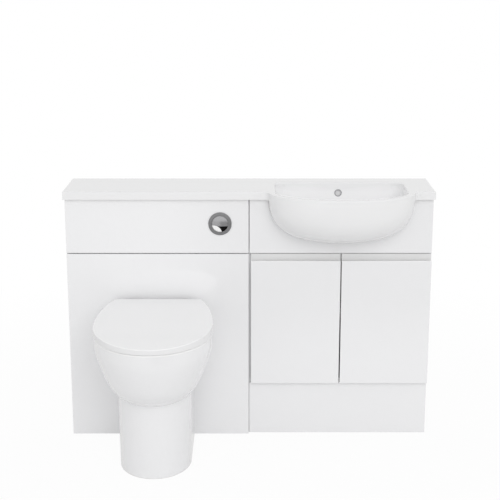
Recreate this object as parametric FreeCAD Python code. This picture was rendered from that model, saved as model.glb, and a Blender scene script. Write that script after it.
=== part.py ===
import FreeCAD
import Part
import math
import os

# Combination vanity unit: a toilet unit and a basin unit side by side under one cast top.
# Millimetres. +X to the right of someone facing the unit, +Y to the wall, +Z up.
# The origin is on the floor, in the middle of the whole object's width and depth.

# Cabinets, worktop and front pieces
unit_width = 600.0
worktop_depth = 233.0
worktop_top = 844.0
worktop_thickness = 26.0
worktop_side_overhang = 5.0
worktop_front_overhang = 12.0
worktop_edge_round = 3.0
board = 16.0
panel_board = 16.0
door_board = 18.0
door_stand_off = 4.5
panel_joint = 3.0
fascia_bottom = 637.0
plinth_height = 182.0
plinth_setback = 11.0
door_reveal_inner = 6.0
door_reveal_outer = 0.0
door_gap = 4.0
edge_round = 1.2

# Door finger pull, cut along the top edge of each door
pull_height = 22.0
pull_lip = 5.0
pull_leaf = 6.0
pull_depth = 11.0

# Cabinet rails, shelf and fixings
rail_height = 100.0
back_board_height = 388.0
front_rail_height = 60.0
front_rail_below_joint = 33.0
wall_hole_radius = 4.0
wall_hole_spacing = 400.0
shelf_height = 400.0
shelf_front_gap = 30.0
shelf_back_gap = 20.0
shelf_side_gap = 1.0
peg_radius = 2.5
peg_length = 18.0
peg_inset = 35.0
fixing_clearance = 0.1
pipe_clearance = 0.3
find_margin = 0.001
bracket_size = 40.0
bracket_width = 30.0
bracket_thickness = 3.0
bracket_inset = 60.0
bolt_radius = 3.0
bolt_head_radius = 7.0
bolt_head_thickness = 3.0
bolt_heights = (260.0, 720.0)
bolt_from_wall = 45.0
buffer_radius = 4.0

# Concealed door hinge
cup_radius = 17.5
cup_edge_distance = 22.0
cup_depth = 14.0
cup_wall = 0.8
cup_flange_radius = 20.0
cup_flange_thickness = 1.2
cup_wing_half_height = 28.0
cup_wing_width = 14.0
hinge_pin_radius = 1.5
hinge_pin_inset = 9.4
hinge_pin_depth = 9.4
hinge_ear_radius = 3.2
hinge_ear_gap = 1.4
hinge_pin_fit = 0.01
hinge_running_clearance = 0.05
hinge_eye_radius = 3.0
hinge_eye_half_height = 3.5
hinge_link_thickness = 3.2
hinge_arm_reach = 14.2
hinge_arm_thickness = 2.5
hinge_arm_half_height = 7.0
hinge_arm_length = 50.0
hinge_plate_front_gap = 10.0
hinge_plate_length = 40.0
hinge_plate_half_height = 24.0
hinge_plate_base = 3.0
hinge_from_door_end = 90.0

# Cast top with its integral basin
basin_side_margin = 63.0
basin_reach = 148.0
basin_side_wall = 22.0
basin_front_wall = 22.0
basin_back_margin = 69.0
basin_back_wall = 12.0
basin_corner = 40.0
basin_outer_depth = 170.0
basin_floor = 13.0
basin_rule = 2.8
basin_steps = (0.0, 0.2, 0.45, 0.65, 0.8, 0.91, 0.985)
basin_shoulder = 24.0
basin_rim_round = 4.0
drain_from_wall = 158.0
fascia_cut_clearance = 1.0

# Overflow and waste
overflow_height = 808.0
overflow_radius = 12.5
overflow_bore = 9.5
overflow_sleeve = 10.8
overflow_lip = 2.0
overflow_sleeve_length = 4.0
overflow_bevel = 1.0
waste_flange_radius = 32.0
waste_flange_thickness = 2.5
waste_tail_radius = 22.0
waste_bore_radius = 18.0
waste_tail_below = 48.0
waste_bridge_thickness = 5.0
waste_bridge_depth = 26.0
waste_guide_radius = 9.0
waste_nut_radius = 31.0
waste_nut_thickness = 12.0
plug_radius = 30.0
plug_crown = 3.0
plug_edge = 2.5
plug_stem_radius = 5.0
plug_stem_below_bridge = 12.0

# Bottle trap
trap_nut_radius = 28.0
trap_nut_height = 24.0
trap_body_radius = 27.0
trap_body_height = 62.0
trap_cup_radius = 31.0
trap_cup_height = 52.0
trap_wall = 2.5
trap_outlet_radius = 20.0
trap_outlet_drop = 26.5
trap_branch_length = 12.0
trap_union_length = 18.0
trap_union_radius = 27.0

# Concealed cistern
cistern_width = 410.0
cistern_depth = 128.0
cistern_headroom = 48.0
cistern_wall = 4.0
cistern_corner = 18.0
cistern_cover_thickness = 12.0
cistern_cover_lip = 8.0
cistern_cover_play = 0.3
flush_valve_radius = 34.0
flush_valve_wall = 3.0
flush_valve_height = 150.0
flush_valve_window = 60.0
flush_tail_radius = 22.0
flush_tail_below = 34.0
flush_nut_radius = 33.0
flush_nut_thickness = 14.0
flush_pipe_radius = 20.0
flush_pipe_wall = 2.0
flush_pipe_bend = 45.0
flush_pipe_straight = 16.0
flush_inlet_below_rim = 97.5
flush_seal_radius = 27.0
flush_seal_length = 24.0
lift_tube_radius = 14.0
lift_tube_height = 190.0
lift_seal_radius = 28.0
lift_seal_thickness = 6.0
fill_valve_from_end = 70.0
fill_stem_radius = 11.0
fill_thread_radius = 10.4
fill_thread_length = 36.0
fill_neck_radius = 12.0
fill_nut_radius = 20.0
fill_nut_thickness = 9.0
fill_collar_radius = 16.0
fill_collar_thickness = 6.0
fill_head_radius = 20.0
fill_head_height = 36.0
fill_top_gap = 40.0
float_radius = 34.0
float_height = 62.0
float_wall = 2.5
float_travel = 40.0
float_stop_gap = 16.0

# Push button plate on the toilet unit's upper panel
button_from_joint = 95.0
button_height = 736.0
bezel_radius = 38.0
bezel_stand_out = 6.0
bezel_edge = 2.5
bezel_land = 4.0
button_radius = 26.5
button_clearance = 0.4
button_crown = 4.0
button_skirt = 9.0
button_split = 0.5
barrel_wall = 2.2
barrel_depth = 40.0
barrel_floor = 3.0
barrel_hole_clearance = 0.6
button_stem_radius = 3.0
button_nut_radius = 37.0
button_nut_thickness = 8.0
nipple_radius = 2.5
nipple_length = 10.0
half_button_radius = 27.8
half_button_left = 20.9
half_button_down = 32.0
half_stem_left = 12.5
half_stem_down = 17.0
full_stem_right = 5.0
full_stem_up = 5.0

# Toilet pan
seat_reach = 448.0
pan_half_width = 184.5
pan_rim_inset = 5.0
pan_widest_from_front = 217.0
pan_rear_half_length = 340.0
pan_rim_height = 442.5
pan_rim_round = 6.0
pan_belly_depth = 217.0
pan_belly = ((0.0, 1.0, 1.0), (0.15, 0.998, 0.995), (0.35, 0.95, 0.952), (0.53, 0.875, 0.885),
             (0.7, 0.792, 0.8), (0.8, 0.722, 0.72), (0.92, 0.6, 0.56), (1.0, 0.42, 0.36))
pan_wall = 13.0
pan_deck = 15.0
foot_half_width = 114.0
foot_flare = 4.0
foot_reach = 345.0
foot_nose = 140.0
foot_top_below_rim = 42.5
bowl_half_width = 138.0
bowl_front_half_length = 166.0
bowl_rear_half_length = 148.0
bowl_depth = 219.0
bowl_rule = 2.3
bowl_steps = (0.0, 0.25, 0.5, 0.72, 0.88, 0.97)
bowl_sump_from_panel = 185.0
soil_height = 180.0
soil_radius = 51.0
soil_bore = 45.0
soil_length = 85.0
soil_hole_clearance = 6.0
soil_shoulder = 4.0
soil_shoulder_length = 25.0
trapway_bore = 34.0
trapway_wall = 10.0
trapway_weir_below_rim = 157.5
trapway_weir_from_panel = 105.0
trapway_turn_from_panel = 62.0
trapway_inlet_below_rim = 196.5

# Seat, lid and their hinges
seat_lift = 3.0
seat_thickness = 9.5
seat_edge_round = 4.0
seat_hole_half_width = 112.0
seat_hole_front_half_length = 148.0
seat_hole_rear_half_length = 122.0
seat_back_from_axis = 26.0
lid_half_width = 187.0
lid_gap = 0.6
lid_front_thickness = 3.9
lid_back_thickness = 31.5
lid_skirt_wall = 3.0
lid_skirt_clearance = 1.0
lid_skirt_gap = 1.2
lid_skirt_reach = 90.0
lid_wall = 4.5
lid_edge_round = 4.0
lid_corner_round = 10.0
lid_back_from_panel = 20.0
seat_axis_from_panel = 39.0
seat_axis_rise = 22.5
seat_hinge_spacing = 155.0
seat_barrel_radius = 9.0
seat_pin_radius = 4.0
seat_post_half_length = 11.0
seat_post_half_depth = 7.0
seat_knuckle_length = 14.0
seat_knuckle_gap = 0.4
seat_base_radius = 23.0
seat_base_thickness = 2.5
seat_running_clearance = 0.05
seat_pin_seat = 0.02
lid_notch_clearance = 1.2
seat_bolt_radius = 4.0
seat_bolt_length = 46.0
seat_wing_nut_radius = 12.0
seat_wing_nut_thickness = 9.0
seat_buffer_radius = 8.0
seat_buffer_back_angle = 35.0
lid_buffer_radius = 5.0

# Places worked out from the sizes above
overall_depth = worktop_depth + seat_reach
wall_y = overall_depth / 2
worktop_front_y = wall_y - worktop_depth
worktop_bottom = worktop_top - worktop_thickness
panel_face_y = worktop_front_y + worktop_front_overhang
carcass_front_y = panel_face_y + panel_board
door_back_y = carcass_front_y - door_stand_off
door_face_y = door_back_y - door_board
plinth_face_y = panel_face_y + plinth_setback
plinth_back_y = plinth_face_y + board
door_bottom = plinth_height + panel_joint
door_top = fascia_bottom - panel_joint
door_width = (unit_width - door_reveal_inner - door_reveal_outer - door_gap) / 2
right_door_x = unit_width - door_reveal_outer
hinge_heights = (door_bottom + hinge_from_door_end, door_top - hinge_from_door_end)
panel_top = worktop_bottom - panel_joint / 2
front_rail_bottom = fascia_bottom - front_rail_below_joint
vanity_middle = unit_width / 2
basin_half_width = unit_width / 2 - basin_side_margin
basin_inner_half_width = basin_half_width - basin_side_wall
basin_inner_reach = basin_reach - basin_front_wall
pan_x = -unit_width / 2
drain_y = wall_y - drain_from_wall
basin_back_y = wall_y - basin_back_margin
basin_inner_depth = basin_outer_depth - basin_floor
basin_floor_top = worktop_top - basin_inner_depth * basin_steps[-1]
basin_floor_bottom = worktop_top - basin_outer_depth * basin_steps[-1]
waste_tail_bottom = basin_floor_bottom - waste_tail_below
waste_bridge_top = basin_floor_top - waste_bridge_depth
lid_front_y = -overall_depth / 2
lid_back_y = panel_face_y - lid_back_from_panel
seat_front_inset = lid_skirt_wall + lid_skirt_clearance
seat_half_width = lid_half_width - seat_front_inset
seat_underside = pan_rim_height + seat_lift
lid_underside = seat_underside + seat_thickness + lid_gap
lid_skirt_low = pan_rim_height + lid_skirt_gap
seat_axis_height = pan_rim_height + seat_axis_rise
seat_axis_y = panel_face_y - seat_axis_from_panel
foot_top = pan_rim_height - foot_top_below_rim
trapway_weir_height = pan_rim_height - trapway_weir_below_rim
trapway_inlet_height = pan_rim_height - trapway_inlet_below_rim
flush_inlet_height = pan_rim_height - flush_inlet_below_rim
pan_front_y = lid_front_y + pan_rim_inset
pan_widest_y = pan_front_y + pan_widest_from_front
cistern_back_y = wall_y - board
cistern_middle_y = cistern_back_y - cistern_depth / 2
cistern_bottom = flush_inlet_height + flush_pipe_bend + flush_pipe_straight + flush_tail_below
cistern_top = worktop_bottom - cistern_headroom
fill_valve_offset = cistern_width / 2 - fill_valve_from_end
fill_head_top = cistern_top - fill_top_gap
float_bottom = fill_head_top - fill_head_height - float_stop_gap - float_travel - float_height
button_x = -button_from_joint
bowl_sump_y = panel_face_y - bowl_sump_from_panel
bowl_back_y = pan_widest_y + bowl_rear_half_length


def point(x, y, z):
    """A place in the object's frame."""
    return FreeCAD.Vector(x, y, z)


x_axis = point(1, 0, 0)
y_axis = point(0, 1, 0)
z_axis = point(0, 0, 1)


def block(low, high):
    """Square-edged block between two corners."""
    size = [high[i] - low[i] for i in range(3)]
    return Part.makeBox(size[0], size[1], size[2], point(*low))


def rod(start, end, radius):
    """Round bar between two points."""
    run = end - start
    return Part.makeCylinder(radius, run.Length, start, run)


def tube(start, end, outer, inner):
    """Round pipe between two points."""
    return rod(start, end, outer).cut(rod(start, end, inner))


def prism(corners, travel):
    """Flat outline through the corners, pushed along a direction."""
    return Part.Face(Part.makePolygon(corners + corners[:1])).extrude(travel)


def turned(profile, base, axis=z_axis):
    """Turned piece: a closed profile of (radius, height) pairs spun about an axis."""
    outline = [point(radius, 0, height) for radius, height in profile]
    solid = Part.Face(Part.makePolygon(outline + outline[:1])).revolve(point(0, 0, 0), z_axis, 360)
    solid.Placement = FreeCAD.Placement(base, FreeCAD.Rotation(z_axis, axis))
    return solid


def crowned_disc(base, axis, radius, edge, crown):
    """Round disc with an upright edge and a shallow domed face."""
    dome_radius = (radius ** 2 + crown ** 2) / (2 * crown)
    half_turn = math.asin(radius / dome_radius) / 2
    middle_height = edge + crown - dome_radius * (1 - math.cos(half_turn))
    middle = point(dome_radius * math.sin(half_turn), 0, middle_height)
    corners = [point(0, 0, edge + crown), point(0, 0, 0), point(radius, 0, 0), point(radius, 0, edge)]
    edges = [Part.LineSegment(start, end) for start, end in zip(corners, corners[1:])]
    edges.append(Part.Arc(corners[-1], middle, corners[0]))
    outline = Part.Wire([edge_line.toShape() for edge_line in edges])
    solid = Part.Face(outline).revolve(point(0, 0, 0), z_axis, 360)
    solid.Placement = FreeCAD.Placement(base, FreeCAD.Rotation(z_axis, axis))
    return solid


def edges_along(solid, direction):
    """Straight edges parallel to a direction."""
    found = []
    for edge in solid.Edges:
        if not isinstance(edge.Curve, Part.Line):
            continue
        if abs(abs(edge.tangentAt(edge.FirstParameter).dot(direction)) - 1) > find_margin:
            continue
        found.append(edge)
    return found


def flat_edges_at(solid, height):
    """Edges that lie wholly at one height."""
    return [
        edge for edge in solid.Edges
        if abs(edge.BoundBox.ZMin - height) < find_margin and abs(edge.BoundBox.ZMax - height) < find_margin
    ]


def rounded_board(low, high, radius=edge_round):
    """Front board whose four face edges are softened."""
    solid = block(low, high)
    face = [edge for edge in solid.Edges if abs(edge.CenterOfMass.y - low[1]) < find_margin]
    return solid.makeFillet(radius, face)


def scaled(value, centre, scale):
    """Value drawn towards a centre by a scale."""
    return centre + (value - centre) * scale


def depth_scale(share, rule):
    """How wide a bowl is at a share of its depth, as part of its width at the rim."""
    return (1 - share ** rule) ** (1 / rule)


# Cast top and basin


def basin_outline(half_width, reach, back_y, scale, height):
    """Level outline of the basin: bowed front, straight sides and rounded back corners."""
    width = half_width * scale
    front_centre = scaled(worktop_front_y, drain_y, scale)
    back = scaled(back_y, drain_y, scale)
    corner = basin_corner * scale
    turn = corner * (1 - math.sqrt(0.5))
    left = vanity_middle - width
    right = vanity_middle + width
    bow = Part.Ellipse(point(vanity_middle, front_centre, height), width, reach * scale)
    edges = [
        Part.ArcOfEllipse(bow, math.pi, 2 * math.pi),
        Part.LineSegment(point(right, front_centre, height), point(right, back - corner, height)),
        Part.Arc(point(right, back - corner, height), point(right - turn, back - turn, height),
                 point(right - corner, back, height)),
        Part.LineSegment(point(right - corner, back, height), point(left + corner, back, height)),
        Part.Arc(point(left + corner, back, height), point(left + turn, back - turn, height),
                 point(left, back - corner, height)),
        Part.LineSegment(point(left, back - corner, height), point(left, front_centre, height)),
    ]
    return Part.Wire([edge.toShape() for edge in edges])


def basin_form(half_width, reach, back_y, depth):
    """Solid bowl form below the worktop's surface."""
    sections = []
    for share in basin_steps:
        scale = depth_scale(share, basin_rule)
        sections.append(basin_outline(half_width, reach, back_y, scale, worktop_top - depth * share))
    return Part.makeLoft(sections, True, False)


def basin_outside(grow=0.0):
    """Outer form of the basin, grown where a board has to clear it."""
    return basin_form(basin_half_width + grow, basin_reach + grow,
                      basin_back_y + basin_back_wall + grow, basin_outer_depth + grow)


def basin_inside():
    """Hollow of the basin."""
    return basin_form(basin_inner_half_width, basin_inner_reach, basin_back_y, basin_inner_depth)


def overflow_seat_y():
    """Where the back wall of the basin stands at the overflow's height."""
    share = (worktop_top - overflow_height) / basin_inner_depth
    return scaled(basin_back_y, drain_y, depth_scale(share, basin_rule))


def cast_top():
    """Worktop slab with the basin cast in one piece with it."""
    half = unit_width + worktop_side_overhang
    slab = block((-half, worktop_front_y, worktop_bottom), (half, wall_y, worktop_top))
    solid = slab.fuse(basin_outside()).removeSplitter()
    shoulders = [
        edge for edge in solid.Edges
        if edge.BoundBox.ZLength > worktop_thickness / 2
        and abs(edge.CenterOfMass.y - worktop_front_y) < worktop_edge_round
        and abs(abs(edge.CenterOfMass.x - vanity_middle) - basin_half_width) < basin_rim_round
    ]
    solid = solid.makeFillet(basin_shoulder, shoulders)
    top_front = [
        edge for edge in flat_edges_at(solid, worktop_top)
        if edge.CenterOfMass.y < wall_y - worktop_edge_round
    ]
    solid = solid.makeFillet(worktop_edge_round, top_front)
    solid = solid.cut(basin_inside())
    rim = [
        edge for edge in flat_edges_at(solid, worktop_top)
        if basin_back_y + basin_back_wall > edge.CenterOfMass.y > worktop_front_y - basin_inner_reach
        and abs(edge.CenterOfMass.x - vanity_middle) <= basin_inner_half_width
    ]
    solid = solid.makeFillet(basin_rim_round, rim)
    seat = point(vanity_middle, drain_y, basin_floor_top - waste_flange_thickness)
    sink = point(vanity_middle, drain_y, basin_floor_top + worktop_edge_round)
    below = point(vanity_middle, drain_y, waste_tail_bottom)
    solid = solid.cut(rod(seat, sink, waste_flange_radius + pipe_clearance))
    solid = solid.cut(rod(below, sink, waste_tail_radius + pipe_clearance))
    face = point(vanity_middle, overflow_seat_y(), overflow_height)
    mouth = face - y_axis * overflow_sleeve_length
    end = face + y_axis * (overflow_sleeve_length + pipe_clearance)
    solid = solid.cut(rod(mouth, face, overflow_radius + pipe_clearance))
    return solid.cut(rod(mouth, end, overflow_sleeve + pipe_clearance))


def overflow_ring():
    """Plated ring pressed into the overflow hole in the basin's back wall."""
    profile = [
        (overflow_bore, -overflow_lip), (overflow_radius - overflow_bevel, -overflow_lip),
        (overflow_radius, overflow_bevel - overflow_lip), (overflow_radius, 0), (overflow_sleeve, 0),
        (overflow_sleeve, overflow_sleeve_length), (overflow_bore, overflow_sleeve_length),
    ]
    return turned(profile, point(vanity_middle, overflow_seat_y(), overflow_height), y_axis)


def waste_body():
    """Flanged basin waste with a cross bridge that guides the plug's stem."""
    low = waste_tail_bottom - basin_floor_top
    profile = [
        (waste_bore_radius, 0), (waste_flange_radius, 0),
        (waste_flange_radius, -waste_flange_thickness), (waste_tail_radius, -waste_flange_thickness),
        (waste_tail_radius, low), (waste_bore_radius, low),
    ]
    centre = point(vanity_middle, drain_y, basin_floor_top)
    solid = turned(profile, centre)
    top = waste_bridge_top
    bottom = top - waste_bridge_thickness
    reach = (waste_bore_radius + waste_tail_radius) / 2
    half = waste_bridge_thickness / 2
    bars = [
        block((vanity_middle - reach, drain_y - half, bottom), (vanity_middle + reach, drain_y + half, top)),
        block((vanity_middle - half, drain_y - reach, bottom), (vanity_middle + half, drain_y + reach, top)),
    ]
    foot = point(vanity_middle, drain_y, bottom)
    head = point(vanity_middle, drain_y, top)
    solid = solid.fuse(bars + [rod(foot, head, waste_guide_radius)]).removeSplitter()
    return solid.cut(rod(foot, head, plug_stem_radius + hinge_running_clearance))


def waste_plug():
    """Push plug: a crowned cap on a sliding stem."""
    base = point(vanity_middle, drain_y, basin_floor_top)
    stem_foot = waste_bridge_top - waste_bridge_thickness - plug_stem_below_bridge
    stem = rod(point(vanity_middle, drain_y, stem_foot), base, plug_stem_radius)
    return crowned_disc(base, z_axis, plug_radius, plug_edge, plug_crown).fuse(stem).removeSplitter()


def hexagon_nut(radius, bore, thickness, base):
    """Six-sided nut standing on its base point."""
    corners = []
    for step in range(6):
        angle = math.radians(60 * step)
        corners.append(base + point(radius * math.cos(angle), radius * math.sin(angle), 0))
    solid = prism(corners, z_axis * thickness)
    return solid.cut(rod(base, base + z_axis * thickness, bore))


def waste_nut():
    """Back nut that clamps the waste under the basin."""
    base = point(vanity_middle, drain_y, basin_floor_bottom - waste_nut_thickness)
    return hexagon_nut(waste_nut_radius, waste_tail_radius + pipe_clearance, waste_nut_thickness, base)


def trap_inlet():
    """Union nut and dip tube that hang the trap on the waste's tail."""
    top = trap_nut_height
    bore = waste_tail_radius + pipe_clearance
    dip = -trap_body_height - trap_cup_height / 2
    inner = waste_tail_radius - trap_wall * 2
    profile = [
        (bore, top), (trap_nut_radius, top), (trap_nut_radius, 0), (inner, 0), (inner, dip),
        (inner - trap_wall, dip), (inner - trap_wall, trap_wall), (bore, trap_wall),
    ]
    return turned(profile, point(vanity_middle, drain_y, waste_tail_bottom - trap_wall))


def trap_base():
    """Height of the trap body's upper face."""
    return waste_tail_bottom - trap_wall


def trap_branch_start():
    """Where the outlet's axis meets the trap's own axis."""
    return point(vanity_middle, drain_y, trap_base() - trap_outlet_drop)


def trap_body():
    """Upper half of the bottle trap, with the side branch's opening."""
    inner = trap_body_radius - trap_wall
    neck = waste_tail_radius - trap_wall * 2 + pipe_clearance
    low = -trap_body_height
    profile = [
        (neck, 0), (trap_body_radius, 0), (trap_body_radius, low), (inner, low), (inner, -trap_wall),
        (neck, -trap_wall),
    ]
    solid = turned(profile, point(vanity_middle, drain_y, trap_base()))
    branch = trap_branch_start()
    end = branch + y_axis * (trap_body_radius + trap_branch_length)
    stub = rod(branch, end, trap_outlet_radius + trap_wall * 2)
    stub = stub.cut(rod(branch - z_axis * trap_body_height, branch + z_axis * trap_body_height, inner))
    solid = solid.fuse(stub).removeSplitter()
    return solid.cut(rod(branch, end, trap_outlet_radius + pipe_clearance))


def trap_cup():
    """Screw-on bottle end of the trap."""
    inner = trap_body_radius + pipe_clearance
    overlap = trap_cup_height / 6
    low = -trap_cup_height
    ledge = trap_body_radius - trap_wall
    profile = [
        (inner, overlap), (trap_cup_radius, overlap), (trap_cup_radius, 0), (trap_body_radius, low),
        (0, low), (0, low + trap_wall), (ledge - trap_wall, low + trap_wall), (ledge, 0), (inner, 0),
    ]
    return turned(profile, point(vanity_middle, drain_y, trap_base() - trap_body_height))


def trap_outlet():
    """Waste pipe with its union collar, from the trap's branch to the wall."""
    seat = trap_body_radius + trap_branch_length
    bore = trap_outlet_radius - trap_wall
    profile = [
        (bore, trap_body_radius), (trap_outlet_radius, trap_body_radius), (trap_outlet_radius, seat),
        (trap_union_radius, seat), (trap_union_radius, seat + trap_union_length),
        (trap_outlet_radius, seat + trap_union_length), (trap_outlet_radius, wall_y - drain_y),
        (bore, wall_y - drain_y),
    ]
    return turned(profile, trap_branch_start(), y_axis)


# Cabinets


def peg_places(side_x, sign):
    """Shelf peg centres on one side, with the direction into the cupboard."""
    front = carcass_front_y + shelf_front_gap + peg_inset
    back = wall_y - board - shelf_back_gap - peg_inset
    return [(point(side_x, y, shelf_height - peg_radius), sign) for y in (front, back)]


def all_pegs():
    """Every shelf peg centre on the two inner faces of the vanity sides."""
    return peg_places(board, 1) + peg_places(unit_width - board, -1)


def connecting_bolt_places():
    """Centres of the bolts that tie the two cabinets together."""
    return [point(0, wall_y - bolt_from_wall - board, height) for height in bolt_heights]


def drill_side(solid):
    """Holes for shelf pegs and connecting bolts in a cabinet side."""
    for centre, _ in all_pegs():
        reach = x_axis * (peg_length / 2 + fixing_clearance)
        solid = solid.cut(rod(centre - reach, centre + reach, peg_radius + fixing_clearance))
    for centre in connecting_bolt_places():
        reach = x_axis * (board + fixing_clearance)
        solid = solid.cut(rod(centre - reach, centre + reach, bolt_radius + fixing_clearance))
    return solid


def vanity_side(x):
    """Vanity side, notched at its foot for the plinth."""
    corners = [
        point(x, plinth_back_y, 0), point(x, wall_y, 0), point(x, wall_y, worktop_bottom),
        point(x, carcass_front_y, worktop_bottom), point(x, carcass_front_y, plinth_height),
        point(x, plinth_back_y, plinth_height),
    ]
    return drill_side(prism(corners, x_axis * board))


def toilet_side(x):
    """Toilet unit side, straight to the floor."""
    return drill_side(block((x, carcass_front_y, 0), (x + board, wall_y, worktop_bottom)))


def back_rail(unit_left, bottom, height, drilled=False):
    """Rail along the wall between a unit's sides, with wall-fixing holes where it is drilled."""
    low = (unit_left + board, wall_y - board, bottom)
    high = (unit_left + unit_width - board, wall_y, bottom + height)
    solid = block(low, high)
    if drilled:
        for side in (-1, 1):
            x = unit_left + unit_width / 2 + side * wall_hole_spacing / 2
            start = point(x, wall_y - board, bottom + height / 2)
            solid = solid.cut(rod(start, start + y_axis * board, wall_hole_radius))
    return solid


def front_rail(unit_left):
    """Rail between a unit's sides, behind the joint of the front pieces."""
    low = (unit_left + board, carcass_front_y, front_rail_bottom)
    high = (unit_left + unit_width - board, carcass_front_y + board, front_rail_bottom + front_rail_height)
    return block(low, high)


def vanity_base():
    """Cupboard floor, resting on the plinth."""
    low = (board, carcass_front_y, plinth_height)
    return block(low, (unit_width - board, wall_y - board, plinth_height + board))


def plinth():
    """Plinth board across the foot of the vanity unit."""
    return rounded_board((0, plinth_face_y, 0), (unit_width, plinth_back_y, plinth_height))


def shelf():
    """Loose shelf resting on its pegs."""
    low = (board + shelf_side_gap, carcass_front_y + shelf_front_gap, shelf_height)
    high = (unit_width - board - shelf_side_gap, wall_y - board - shelf_back_gap, shelf_height + board)
    return rounded_board(low, high)


def shelf_pegs():
    """Four turned pegs pushed into the sides under the shelf."""
    pegs = []
    for centre, sign in all_pegs():
        reach = x_axis * (peg_length / 2)
        pegs.append(rod(centre - reach, centre + reach, peg_radius))
    return pegs


def fascia():
    """Fixed front panel under the worktop, cut out for the basin."""
    solid = rounded_board((panel_joint / 2, panel_face_y, fascia_bottom),
                          (unit_width, carcass_front_y, panel_top))
    return solid.cut(basin_outside(fascia_cut_clearance))


def worktop_brackets():
    """Angle brackets that hold the top down on the cabinet sides."""
    brackets = []
    faces = ((-unit_width + board, 1), (-board, -1), (board, 1), (unit_width - board, -1))
    for face, sign in faces:
        y = wall_y - board - bracket_inset
        corners = [
            point(face, y, worktop_bottom), point(face + sign * bracket_size, y, worktop_bottom),
            point(face + sign * bracket_size, y, worktop_bottom - bracket_thickness),
            point(face + sign * bracket_thickness, y, worktop_bottom - bracket_thickness),
            point(face + sign * bracket_thickness, y, worktop_bottom - bracket_size),
            point(face, y, worktop_bottom - bracket_size),
        ]
        brackets.append(prism(corners, y_axis * bracket_width))
    return brackets


def connecting_bolts():
    """Bolts with a flat head on each side, through both middle sides."""
    bolts = []
    for centre in connecting_bolt_places():
        left = centre - x_axis * board
        right = centre + x_axis * board
        heads = [
            rod(left, left - x_axis * bolt_head_thickness, bolt_head_radius),
            rod(right, right + x_axis * bolt_head_thickness, bolt_head_radius),
        ]
        bolts.append(rod(left, right, bolt_radius).fuse(heads).removeSplitter())
    return bolts


def door_buffers():
    """Soft dots on the cupboard floor's front edge that the doors close on."""
    middle = door_reveal_inner + door_width + door_gap / 2
    buffers = []
    for offset in (-bracket_size, bracket_size):
        for height in (plinth_height + board / 2, fascia_bottom - front_rail_below_joint / 2):
            start = point(middle + offset, carcass_front_y, height)
            buffers.append(rod(start, start - y_axis * door_stand_off, buffer_radius))
    return buffers


# Doors and hinges


def door(left, right):
    """Door with a finger pull scooped along its top edge."""
    lip_top = door_top - pull_height
    groove_back = door_board - pull_leaf
    groove_radius = (groove_back - pull_lip) / 2
    groove_middle = pull_lip + groove_radius
    groove_low = lip_top - pull_depth
    lip_round = pull_lip / 2

    def at(depth, height):
        return point(left, door_face_y + depth, height)

    edges = [
        Part.LineSegment(at(0, door_bottom), at(0, lip_top - lip_round)),
        Part.Arc(at(0, lip_top - lip_round), at(lip_round, lip_top), at(pull_lip, lip_top - lip_round)),
        Part.LineSegment(at(pull_lip, lip_top - lip_round), at(pull_lip, groove_low + groove_radius)),
        Part.Arc(at(pull_lip, groove_low + groove_radius), at(groove_middle, groove_low),
                 at(groove_back, groove_low + groove_radius)),
        Part.LineSegment(at(groove_back, groove_low + groove_radius), at(groove_back, door_top)),
        Part.LineSegment(at(groove_back, door_top), at(door_board, door_top)),
        Part.LineSegment(at(door_board, door_top), at(door_board, door_bottom)),
        Part.LineSegment(at(door_board, door_bottom), at(0, door_bottom)),
    ]
    face = Part.Face(Part.Wire([edge.toShape() for edge in edges]))
    solid = face.extrude(x_axis * (right - left))
    soft = [
        edge for edge in solid.Edges
        if abs(edge.CenterOfMass.y - door_face_y) < find_margin
        and edge.CenterOfMass.z < lip_top - lip_round - find_margin
    ]
    return solid.makeFillet(edge_round, soft)


def bore_for_cups(solid, edge_x, sign):
    """Round pockets for the hinge cups in a door's back."""
    for height in hinge_heights:
        mouth = point(edge_x + sign * cup_edge_distance, door_back_y, height)
        solid = solid.cut(rod(mouth, mouth - y_axis * cup_depth, cup_radius))
    return solid


def left_door():
    """Left door, hinged beside the toilet unit."""
    solid = door(door_reveal_inner, door_reveal_inner + door_width)
    return bore_for_cups(solid, door_reveal_inner, 1)


def right_door():
    """Right door, hinged at the unit's outer side."""
    solid = door(right_door_x - door_width, right_door_x)
    return bore_for_cups(solid, right_door_x, -1)


def pin_line(edge_x, sign, height):
    """Middle of a hinge pin."""
    return point(edge_x + sign * hinge_pin_inset, door_back_y - hinge_pin_depth, height)


def hinge_pin_half_length():
    """Half the pin's length: it stays inside the cup's outer wall."""
    outer = cup_radius - pipe_clearance
    offset = cup_edge_distance - hinge_pin_inset + hinge_pin_radius
    return math.sqrt(outer ** 2 - offset ** 2)


def hinge_pins(edge_x, sign):
    """Upright pins across the two cups of a door."""
    pins = []
    for height in hinge_heights:
        reach = z_axis * hinge_pin_half_length()
        middle = pin_line(edge_x, sign, height)
        pins.append(rod(middle - reach, middle + reach, hinge_pin_radius))
    return pins


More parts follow.
